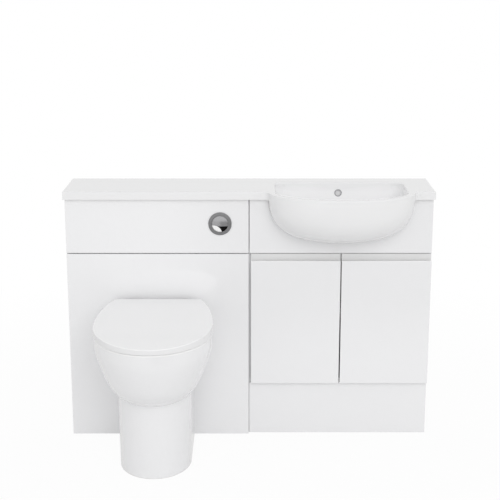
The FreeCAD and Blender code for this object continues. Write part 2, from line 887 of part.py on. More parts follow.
def hinge_cups(edge_x, sign):
    """Pressed cups with fixing wings, let into a door's back."""
    cups = []
    outer = cup_radius - pipe_clearance
    inner = outer - cup_wall
    floor = -cup_depth + pipe_clearance
    profile = [
        (0, floor), (outer, floor), (outer, 0), (cup_flange_radius, 0),
        (cup_flange_radius, cup_flange_thickness), (inner, cup_flange_thickness),
        (inner, floor + cup_wall), (0, floor + cup_wall),
    ]
    for height in hinge_heights:
        mouth = point(edge_x + sign * cup_edge_distance, door_back_y, height)
        half = cup_wing_width / 2
        wings = block((mouth.x - half, mouth.y, height - cup_wing_half_height),
                      (mouth.x + half, mouth.y + cup_flange_thickness, height + cup_wing_half_height))
        wings = wings.cut(rod(mouth, mouth + y_axis * cup_flange_thickness, outer))
        middle = pin_line(edge_x, sign, height)
        reach = z_axis * cup_radius
        between = z_axis * (hinge_arm_half_height + hinge_ear_gap)
        ears = rod(middle - reach, middle + reach, hinge_ear_radius)
        ears = ears.cut(rod(middle - between, middle + between, cup_radius))
        ears = ears.common(rod(mouth + y_axis * floor, mouth, outer))
        cup = turned(profile, mouth, y_axis).fuse([wings, ears]).removeSplitter()
        cups.append(cup.cut(rod(middle - reach, middle + reach, hinge_pin_radius + hinge_pin_fit)))
    return cups


def hinge_arm(edge_x, sign, height):
    """Cranked arm: an eye on the pin, a link along the cup and a straight run into the cupboard."""
    middle = pin_line(edge_x, sign, height)
    near = sign * hinge_arm_reach
    far = sign * (hinge_arm_reach + hinge_arm_thickness)
    low = -hinge_link_thickness / 2
    high = hinge_link_thickness / 2
    end = carcass_front_y + hinge_arm_length - middle.y
    foot = middle - z_axis * hinge_eye_half_height
    link = prism([foot + point(0, low, 0), foot + point(far, low, 0), foot + point(far, high, 0),
                  foot + point(0, high, 0)], z_axis * (hinge_eye_half_height * 2))
    base = middle - z_axis * hinge_arm_half_height
    run = prism([base + point(near, low, 0), base + point(far, low, 0), base + point(far, end, 0),
                 base + point(near, end, 0)], z_axis * (hinge_arm_half_height * 2))
    eye = rod(foot, foot + z_axis * (hinge_eye_half_height * 2), hinge_eye_radius)
    solid = eye.fuse([link, run]).removeSplitter()
    reach = z_axis * hinge_eye_half_height
    return solid.cut(rod(middle - reach, middle + reach, hinge_pin_radius + hinge_running_clearance))


def hinge_plate(edge_x, sign, side_x, height):
    """Mounting plate on a cabinet side, with the raised bed that carries the arm."""
    arm_face = edge_x + sign * (hinge_pin_inset + hinge_arm_reach)
    front = carcass_front_y + hinge_plate_front_gap
    back = front + hinge_plate_length

    def slab(depth, half_height):
        low = (min(side_x, depth), front, height - half_height)
        return block(low, (max(side_x, depth), back, height + half_height))

    wings = slab(side_x + sign * hinge_plate_base, hinge_plate_half_height)
    return wings.fuse(slab(arm_face, hinge_arm_half_height)).removeSplitter()


def door_sets():
    """Hinge edge, opening direction and cabinet face of each door."""
    return ((door_reveal_inner, 1, board), (right_door_x, -1, unit_width - board))


def hinge_arms():
    """The four cranked arms."""
    return [hinge_arm(edge, sign, height) for edge, sign, _ in door_sets() for height in hinge_heights]


def hinge_plates():
    """The four mounting plates."""
    return [hinge_plate(*row, height) for row in door_sets() for height in hinge_heights]


# Toilet unit front, cistern and push button


def upper_panel():
    """Removable panel in front of the cistern, bored for the push button."""
    solid = rounded_board((-unit_width, panel_face_y, fascia_bottom),
                          (-panel_joint / 2, carcass_front_y, panel_top))
    start = point(button_x, panel_face_y, button_height)
    hole = button_radius + button_clearance + barrel_wall + barrel_hole_clearance
    return solid.cut(rod(start, start + y_axis * panel_board, hole))


def lower_panel():
    """Panel behind the pan, bored for the soil outlet and the flush pipe."""
    solid = rounded_board((-unit_width, panel_face_y, 0), (-panel_joint / 2, carcass_front_y, door_top))
    soil = point(pan_x, panel_face_y, soil_height)
    flush = point(pan_x, panel_face_y, flush_inlet_height)
    solid = solid.cut(rod(soil, soil + y_axis * panel_board, soil_radius + soil_hole_clearance))
    return solid.cut(rod(flush, flush + y_axis * panel_board, flush_seal_radius + soil_hole_clearance))


def cistern_tank():
    """Open-topped water tank behind the toilet unit's front."""
    half = cistern_width / 2
    front = cistern_back_y - cistern_depth
    outer = block((pan_x - half, front, cistern_bottom), (pan_x + half, cistern_back_y, cistern_top))
    outer = outer.makeFillet(cistern_corner, edges_along(outer, z_axis))
    wall = cistern_wall
    inner = block((pan_x - half + wall, front + wall, cistern_bottom + wall),
                  (pan_x + half - wall, cistern_back_y - wall, cistern_top))
    inner = inner.makeFillet(cistern_corner - wall, edges_along(inner, z_axis))
    solid = outer.cut(inner)
    for offset, radius in ((0, flush_tail_radius), (-fill_valve_offset, fill_neck_radius)):
        start = point(pan_x + offset, cistern_middle_y, cistern_bottom)
        solid = solid.cut(rod(start, start + z_axis * wall, radius + pipe_clearance))
    return solid


def cistern_cover():
    """Push-on tank cover with a locating lip inside the rim."""
    half = cistern_width / 2
    front = cistern_back_y - cistern_depth
    top = cistern_top + cistern_cover_thickness
    plate = block((pan_x - half, front, cistern_top), (pan_x + half, cistern_back_y, top))
    plate = plate.makeFillet(cistern_corner, edges_along(plate, z_axis))
    inset = cistern_wall + cistern_cover_play
    lip = block((pan_x - half + inset, front + inset, cistern_top - cistern_cover_lip),
                (pan_x + half - inset, cistern_back_y - inset, cistern_top))
    lip = lip.makeFillet(cistern_corner - inset, edges_along(lip, z_axis))
    inset += cistern_wall
    core = block((pan_x - half + inset, front + inset, cistern_top - cistern_cover_lip),
                 (pan_x + half - inset, cistern_back_y - inset, cistern_top))
    return plate.fuse(lip.cut(core)).removeSplitter()


def fill_valve():
    """Bottom-fed fill valve: threaded tail, stem with a stop collar, and head."""
    collar = float_bottom - fill_collar_thickness
    head = fill_head_top
    floor = cistern_bottom + cistern_wall
    profile = [
        (0, cistern_bottom - fill_thread_length), (fill_thread_radius, cistern_bottom - fill_thread_length),
        (fill_thread_radius, cistern_bottom - fill_nut_thickness),
        (fill_neck_radius, cistern_bottom - fill_nut_thickness), (fill_neck_radius, floor),
        (fill_collar_radius, floor),
        (fill_collar_radius, floor + fill_collar_thickness),
        (fill_stem_radius, floor + fill_collar_thickness),
        (fill_stem_radius, collar), (fill_collar_radius, collar),
        (fill_collar_radius, collar + fill_collar_thickness),
        (fill_stem_radius, collar + fill_collar_thickness),
        (fill_stem_radius, head - fill_head_height), (fill_head_radius, head - fill_head_height),
        (fill_head_radius, head), (0, head),
    ]
    return turned(profile, point(pan_x - fill_valve_offset, cistern_middle_y, 0))


def fill_nut():
    """Back nut that clamps the fill valve under the tank."""
    base = point(pan_x - fill_valve_offset, cistern_middle_y, cistern_bottom - fill_nut_thickness)
    return hexagon_nut(fill_nut_radius, fill_neck_radius + pipe_clearance, fill_nut_thickness, base)


def float_cup():
    """Open-bottomed float that slides up the fill valve's stem as the tank fills."""
    inner = fill_stem_radius + hinge_running_clearance * 2
    sleeve = inner + float_wall
    rim = float_radius - float_wall
    profile = [
        (inner, 0), (sleeve, 0), (sleeve, float_height - float_wall), (rim, float_height - float_wall),
        (rim, 0), (float_radius, 0), (float_radius, float_height), (inner, float_height),
    ]
    return turned(profile, point(pan_x - fill_valve_offset, cistern_middle_y, float_bottom))


def flush_valve_basket():
    """Flush valve body in the tank's floor: tail, seat, windowed wall and top guide."""
    floor = cistern_wall
    top = floor + flush_valve_height
    inner = flush_valve_radius - flush_valve_wall
    bore = flush_tail_radius - flush_valve_wall
    guide = lift_tube_radius + hinge_running_clearance * 2
    profile = [
        (bore, -flush_tail_below), (flush_tail_radius, -flush_tail_below), (flush_tail_radius, floor),
        (flush_valve_radius, floor), (flush_valve_radius, top), (guide, top), (guide, top - flush_valve_wall),
        (inner, top - flush_valve_wall), (inner, floor + flush_valve_wall), (bore, floor + flush_valve_wall),
    ]
    centre = point(pan_x, cistern_middle_y, cistern_bottom)
    solid = turned(profile, centre)
    low = floor + flush_valve_wall * 2
    half = flush_valve_radius / 2
    for direction in (x_axis, y_axis):
        across = direction * (flush_valve_radius * 2)
        side = z_axis.cross(direction) * half
        start = centre - direction * flush_valve_radius - side + z_axis * low
        corners = [start, start + side * 2, start + side * 2 + z_axis * flush_valve_window,
                   start + z_axis * flush_valve_window]
        solid = solid.cut(prism(corners, across))
    return solid


def flush_lift_tube():
    """Overflow tube with the flush seal at its foot, lifted to flush."""
    base = cistern_bottom + cistern_wall + flush_valve_wall
    inner = lift_tube_radius - flush_valve_wall
    profile = [
        (inner, 0), (lift_seal_radius, 0), (lift_seal_radius, lift_seal_thickness),
        (lift_tube_radius, lift_seal_thickness), (lift_tube_radius, lift_tube_height),
        (inner, lift_tube_height),
    ]
    return turned(profile, point(pan_x, cistern_middle_y, base))


def flush_nut():
    """Nut that clamps the flush valve and carries the flush pipe."""
    base = point(pan_x, cistern_middle_y, cistern_bottom - flush_nut_thickness)
    return hexagon_nut(flush_nut_radius, flush_tail_radius + pipe_clearance, flush_nut_thickness, base)


def flush_pipe():
    """Bent pipe from the cistern's tail forward into the pan."""
    top = point(pan_x, cistern_middle_y, cistern_bottom - flush_tail_below)
    knee = point(pan_x, cistern_middle_y, flush_inlet_height)
    mouth = point(pan_x, panel_face_y - flush_seal_length, flush_inlet_height)
    start = knee + z_axis * flush_pipe_bend
    end = knee - y_axis * flush_pipe_bend
    half = flush_pipe_bend * (1 - math.sqrt(0.5))
    bend = Part.Arc(start, knee + point(0, -half, half), end)
    path = Part.Wire([Part.makeLine(top, start), bend.toShape(), Part.makeLine(end, mouth)])

    def swept(radius):
        ring = Part.Wire([Part.makeCircle(radius, top, z_axis * -1)])
        return path.makePipeShell([ring], True, True)

    return swept(flush_pipe_radius).cut(swept(flush_pipe_radius - flush_pipe_wall))


def flush_seal():
    """Rubber cone between the flush pipe and the pan's inlet."""
    start = point(pan_x, panel_face_y - flush_seal_length, flush_inlet_height)
    end = start + y_axis * flush_seal_length
    return tube(start, end, flush_seal_radius, flush_pipe_radius + pipe_clearance)


def dome():
    """Crowned round button blank facing the front."""
    back_y = panel_face_y - bezel_stand_out + button_crown / 2 + button_skirt
    back = point(button_x, back_y, button_height)
    return crowned_disc(back, y_axis * -1, button_radius, button_skirt, button_crown)


def half_flush_bar(grow):
    """Round bar whose overlap with the button makes the lens of the half flush."""
    centre = point(button_x - half_button_left, panel_face_y, button_height - half_button_down)
    reach = y_axis * (barrel_depth + bezel_stand_out)
    return rod(centre - reach, centre + reach, half_button_radius + grow)


def button_stem(offset_x, offset_z):
    """Guide stem from a button back through the barrel's floor."""
    start = point(button_x + offset_x, panel_face_y, button_height + offset_z)
    return rod(start, start + y_axis * (barrel_depth + bezel_stand_out / 2), button_stem_radius)


def full_flush_button():
    """Larger share of the round button."""
    blank = dome().cut(half_flush_bar(button_split))
    return blank.fuse(button_stem(full_stem_right, full_stem_up)).removeSplitter()


def half_flush_button():
    """Lens-shaped share of the round button."""
    blank = dome().common(half_flush_bar(-button_split / 2))
    return blank.fuse(button_stem(-half_stem_left, -half_stem_down)).removeSplitter()


def button_housing():
    """Bezel with its barrel through the panel, and the two air hose nipples."""
    bore = button_radius + button_clearance
    outer = bore + barrel_wall
    profile = [
        (bore, bezel_stand_out), (bore + bezel_land, bezel_stand_out), (bezel_radius, bezel_edge),
        (bezel_radius, 0), (outer, 0), (outer, -barrel_depth), (0, -barrel_depth),
        (0, -barrel_depth + barrel_floor), (bore, -barrel_depth + barrel_floor),
    ]
    centre = point(button_x, panel_face_y, button_height)
    solid = turned(profile, centre, y_axis * -1)
    back = y_axis * (barrel_depth - barrel_floor)
    through = y_axis * barrel_floor
    for offset_x, offset_z in ((full_stem_right, full_stem_up), (-half_stem_left, -half_stem_down)):
        start = centre + point(offset_x, 0, offset_z) + back
        solid = solid.cut(rod(start, start + through, button_stem_radius + hinge_running_clearance))
    nipples = []
    for side in (-1, 1):
        start = centre + y_axis * barrel_depth + point(side * bore / 2, 0, -side * bore / 3)
        nipples.append(rod(start, start + y_axis * nipple_length, nipple_radius))
    return solid.fuse(nipples).removeSplitter()


def button_nut():
    """Ring nut that clamps the button housing behind the panel."""
    bore = button_radius + button_clearance + barrel_wall + pipe_clearance
    start = point(button_x, carcass_front_y, button_height)
    return tube(start, start + y_axis * button_nut_thickness, button_nut_radius, bore)


# Toilet pan, seat and lid


def egg_outline(half_width, front, rear, back_y, height, widest_y=pan_widest_y):
    """Level outline of pan, seat or lid: elliptical nose, fuller rear and a straight back."""
    centre = point(pan_x, widest_y, height)
    nose = Part.Ellipse(centre - y_axis * front, centre + x_axis * half_width, centre)
    tail = Part.Ellipse(centre + y_axis * rear, centre - x_axis * half_width, centre)
    cut = math.acos((back_y - widest_y) / rear)
    right = Part.ArcOfEllipse(tail, -math.pi / 2, -cut)
    left = Part.ArcOfEllipse(tail, cut, math.pi / 2)
    edges = [
        Part.ArcOfEllipse(nose, -math.pi / 2, math.pi / 2), right,
        Part.LineSegment(right.EndPoint, left.StartPoint), left,
    ]
    return Part.Wire([edge.toShape() for edge in edges])


def egg_prism(half_width, front, rear, back_y, low, high, widest_y=pan_widest_y):
    """Upright-walled solid on an egg outline."""
    wire = egg_outline(half_width, front, rear, back_y, low, widest_y)
    return Part.Face(wire).extrude(z_axis * (high - low))


def oval_outline(half_width, front, rear, centre_y, height):
    """Level closed outline of two half ellipses that share their width."""
    centre = point(pan_x, centre_y, height)
    nose = Part.Ellipse(centre - y_axis * front, centre + x_axis * half_width, centre)
    tail = Part.Ellipse(centre + y_axis * rear, centre - x_axis * half_width, centre)
    edges = [
        Part.ArcOfEllipse(nose, -math.pi / 2, math.pi / 2),
        Part.ArcOfEllipse(tail, -math.pi / 2, math.pi / 2),
    ]
    return Part.Wire([edge.toShape() for edge in edges])


def belly(inset):
    """Outer form of the bowl, drawn in by a wall where the hollow behind it is cut."""
    sections = []
    for depth_share, width_share, front_share in pan_belly:
        drop = pan_belly_depth * depth_share
        half_width = pan_half_width * width_share - inset
        front = pan_widest_from_front * front_share - inset
        rear = pan_rear_half_length
        sections.append(egg_outline(half_width, front, rear, panel_face_y, pan_rim_height - drop))
    return Part.makeLoft(sections, True, False)


def foot_outline(inset, flare, height):
    """Level outline of the column at one height: elliptical nose and straight sides to the panel."""
    half = foot_half_width + flare - inset
    nose_y = worktop_front_y - foot_reach + foot_nose
    nose = Part.Ellipse(point(pan_x, nose_y - foot_nose + inset, height), point(pan_x + half, nose_y, height),
                        point(pan_x, nose_y, height))
    right = pan_x + half
    left = pan_x - half
    edges = [
        Part.ArcOfEllipse(nose, -math.pi / 2, math.pi / 2),
        Part.LineSegment(point(right, nose_y, height), point(right, panel_face_y, height)),
        Part.LineSegment(point(right, panel_face_y, height), point(left, panel_face_y, height)),
        Part.LineSegment(point(left, panel_face_y, height), point(left, nose_y, height)),
    ]
    return Part.Wire([edge.toShape() for edge in edges])


def foot(inset):
    """Rounded column that carries the bowl, from the floor up into it, a little wider at the top."""
    sections = [foot_outline(inset, 0.0, 0.0), foot_outline(inset, foot_flare, foot_top - inset)]
    return Part.makeLoft(sections, True, True)


def bowl_form(grow):
    """Hollow of the bowl, or its outer skin when grown by a wall."""
    sections = []
    for share in bowl_steps:
        scale = depth_scale(share, bowl_rule)
        centre_y = scaled(pan_widest_y, bowl_sump_y, scale)
        height = pan_rim_height - (bowl_depth + grow) * share
        sections.append(oval_outline(bowl_half_width * scale + grow, bowl_front_half_length * scale + grow,
                                     bowl_rear_half_length * scale + grow, centre_y, height))
    return Part.makeLoft(sections, True, False)


def trapway(radius, soil):
    """Bent waterway from the sump over the weir and out at the back."""
    route = [
        point(pan_x, bowl_sump_y, trapway_inlet_height),
        point(pan_x, panel_face_y - trapway_weir_from_panel, trapway_weir_height),
        point(pan_x, panel_face_y - trapway_turn_from_panel, soil_height),
    ]
    pieces = [rod(start, end, radius) for start, end in zip(route, route[1:])]
    pieces += [Part.makeSphere(radius, knee) for knee in route[1:]]
    pieces.append(rod(route[-1], route[-1] + y_axis * (trapway_turn_from_panel + soil_length), soil))
    return pieces[0].fuse(pieces[1:])


def seat_hinge_places():
    """Hinge post centres on the seat's axis."""
    return [point(pan_x + side * seat_hinge_spacing / 2, seat_axis_y, seat_axis_height) for side in (-1, 1)]


def pan():
    """Ceramic pan: hollow outer form, bowl, trapway, soil outlet, flush inlet and hinge holes."""
    outside = belly(0.0).fuse(foot(0.0)).removeSplitter()
    rim = [
        edge for edge in flat_edges_at(outside, pan_rim_height)
        if edge.CenterOfMass.y < panel_face_y - pan_rim_round
    ]
    outside = outside.makeFillet(pan_rim_round, rim)
    roof = block((pan_x - pan_half_width, lid_front_y, pan_rim_height - pan_deck),
                 (pan_x + pan_half_width, panel_face_y, pan_rim_height))
    hollow = belly(pan_wall).fuse(foot(pan_wall)).cut(roof)
    skin = bowl_form(pan_wall).common(outside)
    spigot = point(pan_x, panel_face_y, soil_height)
    shoulder = rod(spigot - y_axis * trapway_turn_from_panel, spigot + y_axis * soil_shoulder_length,
                   soil_radius + soil_shoulder)
    soil = trapway(trapway_bore + trapway_wall, soil_radius).fuse(shoulder)
    floor = block((pan_x - pan_half_width, lid_front_y, -pan_half_width),
                  (pan_x + pan_half_width, wall_y, 0))
    inlet = point(pan_x, bowl_back_y - pan_wall * 2, flush_inlet_height)
    mouth = point(pan_x, panel_face_y, flush_inlet_height)
    boss = rod(inlet, mouth, flush_seal_radius + pan_wall)
    solid = outside.cut(hollow).fuse([skin, soil.cut(floor), boss])
    solid = solid.cut(bowl_form(0.0))
    solid = solid.cut(trapway(trapway_bore, soil_bore))
    solid = solid.cut(rod(mouth - y_axis * flush_seal_length, mouth, flush_seal_radius + pipe_clearance))
    solid = solid.cut(rod(inlet, mouth, flush_pipe_radius))
    for place in seat_hinge_places():
        top = point(place.x, place.y, pan_rim_height)
        solid = solid.cut(rod(top - z_axis * pan_deck, top, seat_bolt_radius + pipe_clearance))
    return solid.removeSplitter()


def knuckle(place, start, length):
    """Round hinge knuckle along the seat's axis, from a distance outboard of its post's middle."""
    outward = 1 if place.x > pan_x else -1
    begin = place + x_axis * (outward * start)
    return rod(begin, begin + x_axis * (outward * length), seat_barrel_radius)


def seat_bore(place):
    """Running bore for the seat's hinge pins."""
    reach = x_axis * (seat_post_half_length + seat_knuckle_length * 2)
    return rod(place - reach, place + reach, seat_pin_radius + seat_running_clearance)


def seat_hinge_posts():
    """Hinge posts bolted to the pan's deck."""
    posts = []
    for place in seat_hinge_places():
        barrel = knuckle(place, -seat_post_half_length, seat_post_half_length * 2)
        deck = point(place.x, place.y, pan_rim_height)
        disc = rod(deck, deck + z_axis * seat_base_thickness, seat_base_radius)
        neck = block((place.x - seat_post_half_length, place.y - seat_post_half_depth, pan_rim_height),
                     (place.x + seat_post_half_length, place.y + seat_post_half_depth, place.z))
        solid = barrel.fuse([disc, neck]).removeSplitter()
        reach = x_axis * seat_post_half_length
        posts.append(solid.cut(rod(place - reach, place + reach, seat_pin_radius + seat_pin_seat)))
    return posts


def seat_hinge_pins():
    """Pins through the post and the seat's and lid's knuckles."""
    pins = []
    for place in seat_hinge_places():
        reach = x_axis * (seat_post_half_length + seat_knuckle_gap + seat_knuckle_length)
        pins.append(rod(place - reach, place + reach, seat_pin_radius))
    return pins


def seat_fixing_bolts():
    """Bolts under the posts, with their wing nuts below the deck."""
    bolts = []
    for place in seat_hinge_places():
        top = point(place.x, place.y, pan_rim_height)
        under = top - z_axis * pan_deck
        shank = rod(top, top - z_axis * seat_bolt_length, seat_bolt_radius)
        nut = rod(under, under - z_axis * seat_wing_nut_thickness, seat_wing_nut_radius)
        bolts.append(shank.fuse(nut).removeSplitter())
    return bolts


def seat_front():
    """Distance from the seat's widest place to its front edge."""
    return pan_widest_y - lid_front_y - seat_front_inset


def seat():
    """Seat ring with two knuckle arms at its back."""
    top = seat_underside + seat_thickness
    back_y = seat_axis_y - seat_back_from_axis
    ring = egg_prism(seat_half_width, seat_front(), pan_rear_half_length, back_y, seat_underside, top)
    ring = ring.makeFillet(lid_corner_round, edges_along(ring, z_axis))
    hole = Part.Face(oval_outline(seat_hole_half_width, seat_hole_front_half_length,
                                  seat_hole_rear_half_length, pan_widest_y, seat_underside))
    ring = ring.cut(hole.extrude(z_axis * seat_thickness))
    ring = ring.makeFillet(seat_edge_round, flat_edges_at(ring, top))
    arms = []
    first = seat_post_half_length + seat_knuckle_gap
    for place in seat_hinge_places():
        barrel = knuckle(place, first, seat_knuckle_length)
        x = barrel.BoundBox.XMin
        inside = back_y - seat_edge_round * 2
        corners = [
            point(x, inside, seat_underside), point(x, back_y + seat_edge_round, seat_underside),
            point(x, seat_axis_y, seat_axis_height - seat_barrel_radius),
            point(x, seat_axis_y - seat_barrel_radius, seat_axis_height),
            point(x, back_y, top - seat_edge_round), point(x, inside, top - seat_edge_round),
        ]
        arms += [barrel, prism(corners, x_axis * seat_knuckle_length)]
    solid = ring.fuse(arms).removeSplitter()
    for place in seat_hinge_places():
        solid = solid.cut(seat_bore(place))
    return solid


def rim_points(share, angles):
    """Places on the pan's rim at given angles from the nose, on a share of its outline."""
    places = []
    for angle in angles:
        for side in (-1, 1):
            turn = math.radians(angle)
            length = pan_widest_from_front if angle <= 90 else pan_rear_half_length
            places.append((pan_x + side * pan_half_width * share * math.sin(turn),
                           pan_widest_y - length * share * math.cos(turn)))
    return places


def seat_buffers():
    """Four soft feet under the seat ring."""
    middle = (seat_hole_half_width + seat_half_width) / 2 / pan_half_width
    feet = []
    for x, y in rim_points(middle, (seat_buffer_back_angle, 90 + seat_buffer_back_angle / 2)):
        top = point(x, y, seat_underside)
        feet.append(rod(top, point(x, y, pan_rim_height), seat_buffer_radius))
    return feet


def lid_top_face(offset):
    """Sloping cutter above the lid: higher at the back than at the front."""
    front = lid_underside + lid_front_thickness - offset
    back = lid_underside + lid_back_thickness - offset
    x = pan_x - lid_half_width * 2
    ceiling = back + lid_back_thickness
    slope = (back - front) / (lid_back_y - lid_front_y)
    margin = lid_half_width
    corners = [
        point(x, lid_front_y - margin, front - slope * margin),
        point(x, lid_back_y + margin, back + slope * margin),
        point(x, lid_back_y + margin, ceiling), point(x, lid_front_y - margin, ceiling),
    ]
    return prism(corners, x_axis * (lid_half_width * 4))


def lid_blank(inset, top_offset, low):
    """Wedge-shaped lid form on its egg outline."""
    front = pan_widest_y - lid_front_y - inset
    back_y = lid_back_y - inset
    tall = egg_prism(lid_half_width - inset, front, pan_rear_half_length, back_y, low,
                     lid_underside + lid_back_thickness)
    corner = lid_corner_round - inset
    tall = tall.makeFillet(corner, edges_along(tall, z_axis))
    return tall.cut(lid_top_face(top_offset))


def lid_skirt_space():
    """Room inside the lid's skirt for the seat, and all that lies below the lid behind the skirt's end."""
    front = pan_widest_y - lid_front_y - lid_skirt_wall
    inside = egg_prism(lid_half_width - lid_skirt_wall, front, pan_rear_half_length, lid_back_y,
                       lid_skirt_low, lid_underside)
    x = pan_x - lid_half_width
    corners = [
        point(x, pan_widest_y, lid_skirt_low), point(x, panel_face_y, lid_skirt_low),
        point(x, panel_face_y, lid_underside), point(x, pan_widest_y + lid_skirt_reach, lid_underside),
    ]
    return inside.fuse(prism(corners, x_axis * (lid_half_width * 2)))


def lid():
    """Hollow lid that wraps over the seat, with knuckles inside its back, notched round the hinges."""
    solid = lid_blank(0.0, 0.0, lid_skirt_low)
    rim = [edge for edge in solid.Edges if edge.BoundBox.ZMin > lid_underside + lid_front_thickness / 2]
    rim = [edge for edge in rim if not isinstance(edge.Curve, Part.Line) or edge.BoundBox.XLength > lid_gap]
    solid = solid.makeFillet(lid_edge_round, rim)
    solid = solid.cut(lid_skirt_space())
    solid = solid.cut(lid_blank(lid_wall, lid_wall, lid_underside))
    first = seat_post_half_length + seat_knuckle_gap
    ceiling = lid_underside + lid_back_thickness - lid_wall
    ears = []
    for place in seat_hinge_places():
        barrel = knuckle(place, -first - seat_knuckle_length, seat_knuckle_length)
        ear = block((barrel.BoundBox.XMin, place.y - seat_barrel_radius, place.z),
                    (barrel.BoundBox.XMax, place.y + seat_barrel_radius, ceiling))
        ears += [barrel, ear.cut(lid_top_face(lid_wall / 2))]
        outward = 1 if place.x > pan_x else -1
        near = place.x - outward * (seat_base_radius + lid_notch_clearance)
        far = place.x + outward * (first + seat_knuckle_length + lid_notch_clearance)
        notch = block((min(near, far), place.y + seat_barrel_radius, lid_underside),
                      (max(near, far), lid_back_y, place.z + seat_barrel_radius + lid_notch_clearance))
        solid = solid.cut(notch)
    solid = solid.fuse(ears).removeSplitter()
    for place in seat_hinge_places():
        solid = solid.cut(seat_bore(place))
    return solid


def lid_buffers():
    """Soft pads inside the lid's rim that rest on the seat."""
    inset = lid_wall + lid_buffer_radius
    share = (lid_half_width - inset) / pan_half_width
    pads = []
    for x, y in rim_points(share, (seat_buffer_back_angle, 90)):
        low = point(x, y, seat_underside + seat_thickness)
        pad = rod(low, low + z_axis * lid_back_thickness, lid_buffer_radius)
        pads.append(pad.cut(lid_top_face(lid_wall)))
    return pads


def save(name, solids):
    """Write one piece, or a group of like pieces, under its name."""
    shape = Part.makeCompound(solids) if isinstance(solids, list) else solids
    count = len(shape.Solids)
    print(f"{name}: solids {count}, volume {shape.Volume / 1e6:.3f} l, valid {shape.isValid()}")
    shape.exportStep(os.path.join("parts", name + ".step"))


def main():
    """Build every piece and write it to its file."""
    os.makedirs("parts", exist_ok=True)
    pieces = {
        "cast_top": cast_top(),
        "overflow_ring": overflow_ring(),
        "waste_body": waste_body(),
        "waste_nut": waste_nut(),
        "waste_plug": waste_plug(),
        "trap_inlet": trap_inlet(),
        "trap_body": trap_body(),
        "trap_cup": trap_cup(),
        "trap_outlet": trap_outlet(),
        "vanity_side_left": vanity_side(0.0),
        "vanity_side_right": vanity_side(unit_width - board),
        "vanity_base": vanity_base(),
        "vanity_top_rail": back_rail(0.0, worktop_bottom - rail_height, rail_height, True),
        "vanity_bottom_rail": back_rail(0.0, plinth_height, back_board_height),
        "vanity_front_rail": front_rail(0.0),
        "fascia": fascia(),
        "plinth": plinth(),
        "shelf": shelf(),
        "shelf_pegs": shelf_pegs(),
        "worktop_brackets": worktop_brackets(),
        "connecting_bolts": connecting_bolts(),
        "door_buffers": door_buffers(),
        "hinge_plates": hinge_plates(),
        "hinge_arms": hinge_arms(),
        "left_door": left_door(),
        "left_hinge_cups": hinge_cups(door_reveal_inner, 1),
        "left_hinge_pins": hinge_pins(door_reveal_inner, 1),
        "right_door": right_door(),
        "right_hinge_cups": hinge_cups(right_door_x, -1),
        "right_hinge_pins": hinge_pins(right_door_x, -1),
        "wc_side_left": toilet_side(-unit_width),
        "wc_side_right": toilet_side(-board),
        "wc_top_rail": back_rail(-unit_width, worktop_bottom - rail_height, rail_height, True),
        "wc_mid_rail": back_rail(-unit_width, cistern_bottom, rail_height),
        "wc_bottom_rail": back_rail(-unit_width, 0.0, rail_height),
        "wc_front_rail": front_rail(-unit_width),
        "wc_upper_panel": upper_panel(),
        "wc_lower_panel": lower_panel(),
        "cistern_tank": cistern_tank(),
        "cistern_cover": cistern_cover(),
        "fill_valve": fill_valve(),
        "fill_nut": fill_nut(),
        "float_cup": float_cup(),
        "flush_valve_basket": flush_valve_basket(),
        "flush_lift_tube": flush_lift_tube(),
        "flush_nut": flush_nut(),
        "flush_pipe": flush_pipe(),
        "flush_seal": flush_seal(),
        "button_housing": button_housing(),
        "button_nut": button_nut(),
        "full_flush_button": full_flush_button(),
        "half_flush_button": half_flush_button(),
        "pan": pan(),
        "seat_hinge_posts": seat_hinge_posts(),
        "seat_hinge_pins": seat_hinge_pins(),
        "seat_fixing_bolts": seat_fixing_bolts(),
        "seat": seat(),
        "seat_buffers": seat_buffers(),
        "lid": lid(),
        "lid_buffers": lid_buffers(),
    }
    for name, solids in pieces.items():
        save(name, solids)


main()
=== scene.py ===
import logging
import math
from dataclasses import dataclass
from enum import Enum
from typing import Any, ClassVar, Sequence

import bpy
from mathutils import Matrix, Vector


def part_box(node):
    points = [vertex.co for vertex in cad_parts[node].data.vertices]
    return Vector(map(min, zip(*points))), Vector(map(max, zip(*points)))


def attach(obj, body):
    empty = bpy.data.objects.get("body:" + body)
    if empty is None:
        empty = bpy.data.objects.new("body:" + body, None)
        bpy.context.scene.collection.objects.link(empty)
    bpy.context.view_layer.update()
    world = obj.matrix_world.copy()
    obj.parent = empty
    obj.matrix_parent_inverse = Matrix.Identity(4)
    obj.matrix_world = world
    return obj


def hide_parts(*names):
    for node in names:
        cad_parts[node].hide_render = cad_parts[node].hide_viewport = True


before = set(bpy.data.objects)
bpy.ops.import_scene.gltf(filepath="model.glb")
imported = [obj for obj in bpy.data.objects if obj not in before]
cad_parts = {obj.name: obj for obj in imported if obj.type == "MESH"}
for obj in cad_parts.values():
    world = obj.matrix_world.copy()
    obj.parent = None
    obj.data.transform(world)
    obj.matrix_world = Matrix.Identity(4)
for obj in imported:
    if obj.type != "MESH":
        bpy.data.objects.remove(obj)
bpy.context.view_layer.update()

# Combination vanity unit: a back-to-wall toilet with a hidden cistern beside a cupboard,
# under one cast top with a semi-recessed basin. Metres, in the frame of the construction model.

LOG = logging.getLogger("vanity_unit")

Triple = tuple[float, float, float]
Span = tuple[float, float]
Socket = bpy.types.NodeSocket

WHITE: Triple = (0.92, 0.92, 0.93)
MELAMINE = {"roughness": 0.45, "roughness_swing": 0.08, "ripple_scale": 700.0,
            "ripple_height": 0.00005}
FACING_LAYER = "facing"


class Slot(Enum):
    """Names of the record's material slots for the small pieces, which no piece here is given."""

    WHITE_PLASTIC = "white_plastic"
    STEEL = "steel"


class Body(Enum):
    """The bodies that pieces ride on."""

    FRAME = "frame"
    LEFT_DOOR = "left_door"
    RIGHT_DOOR = "right_door"


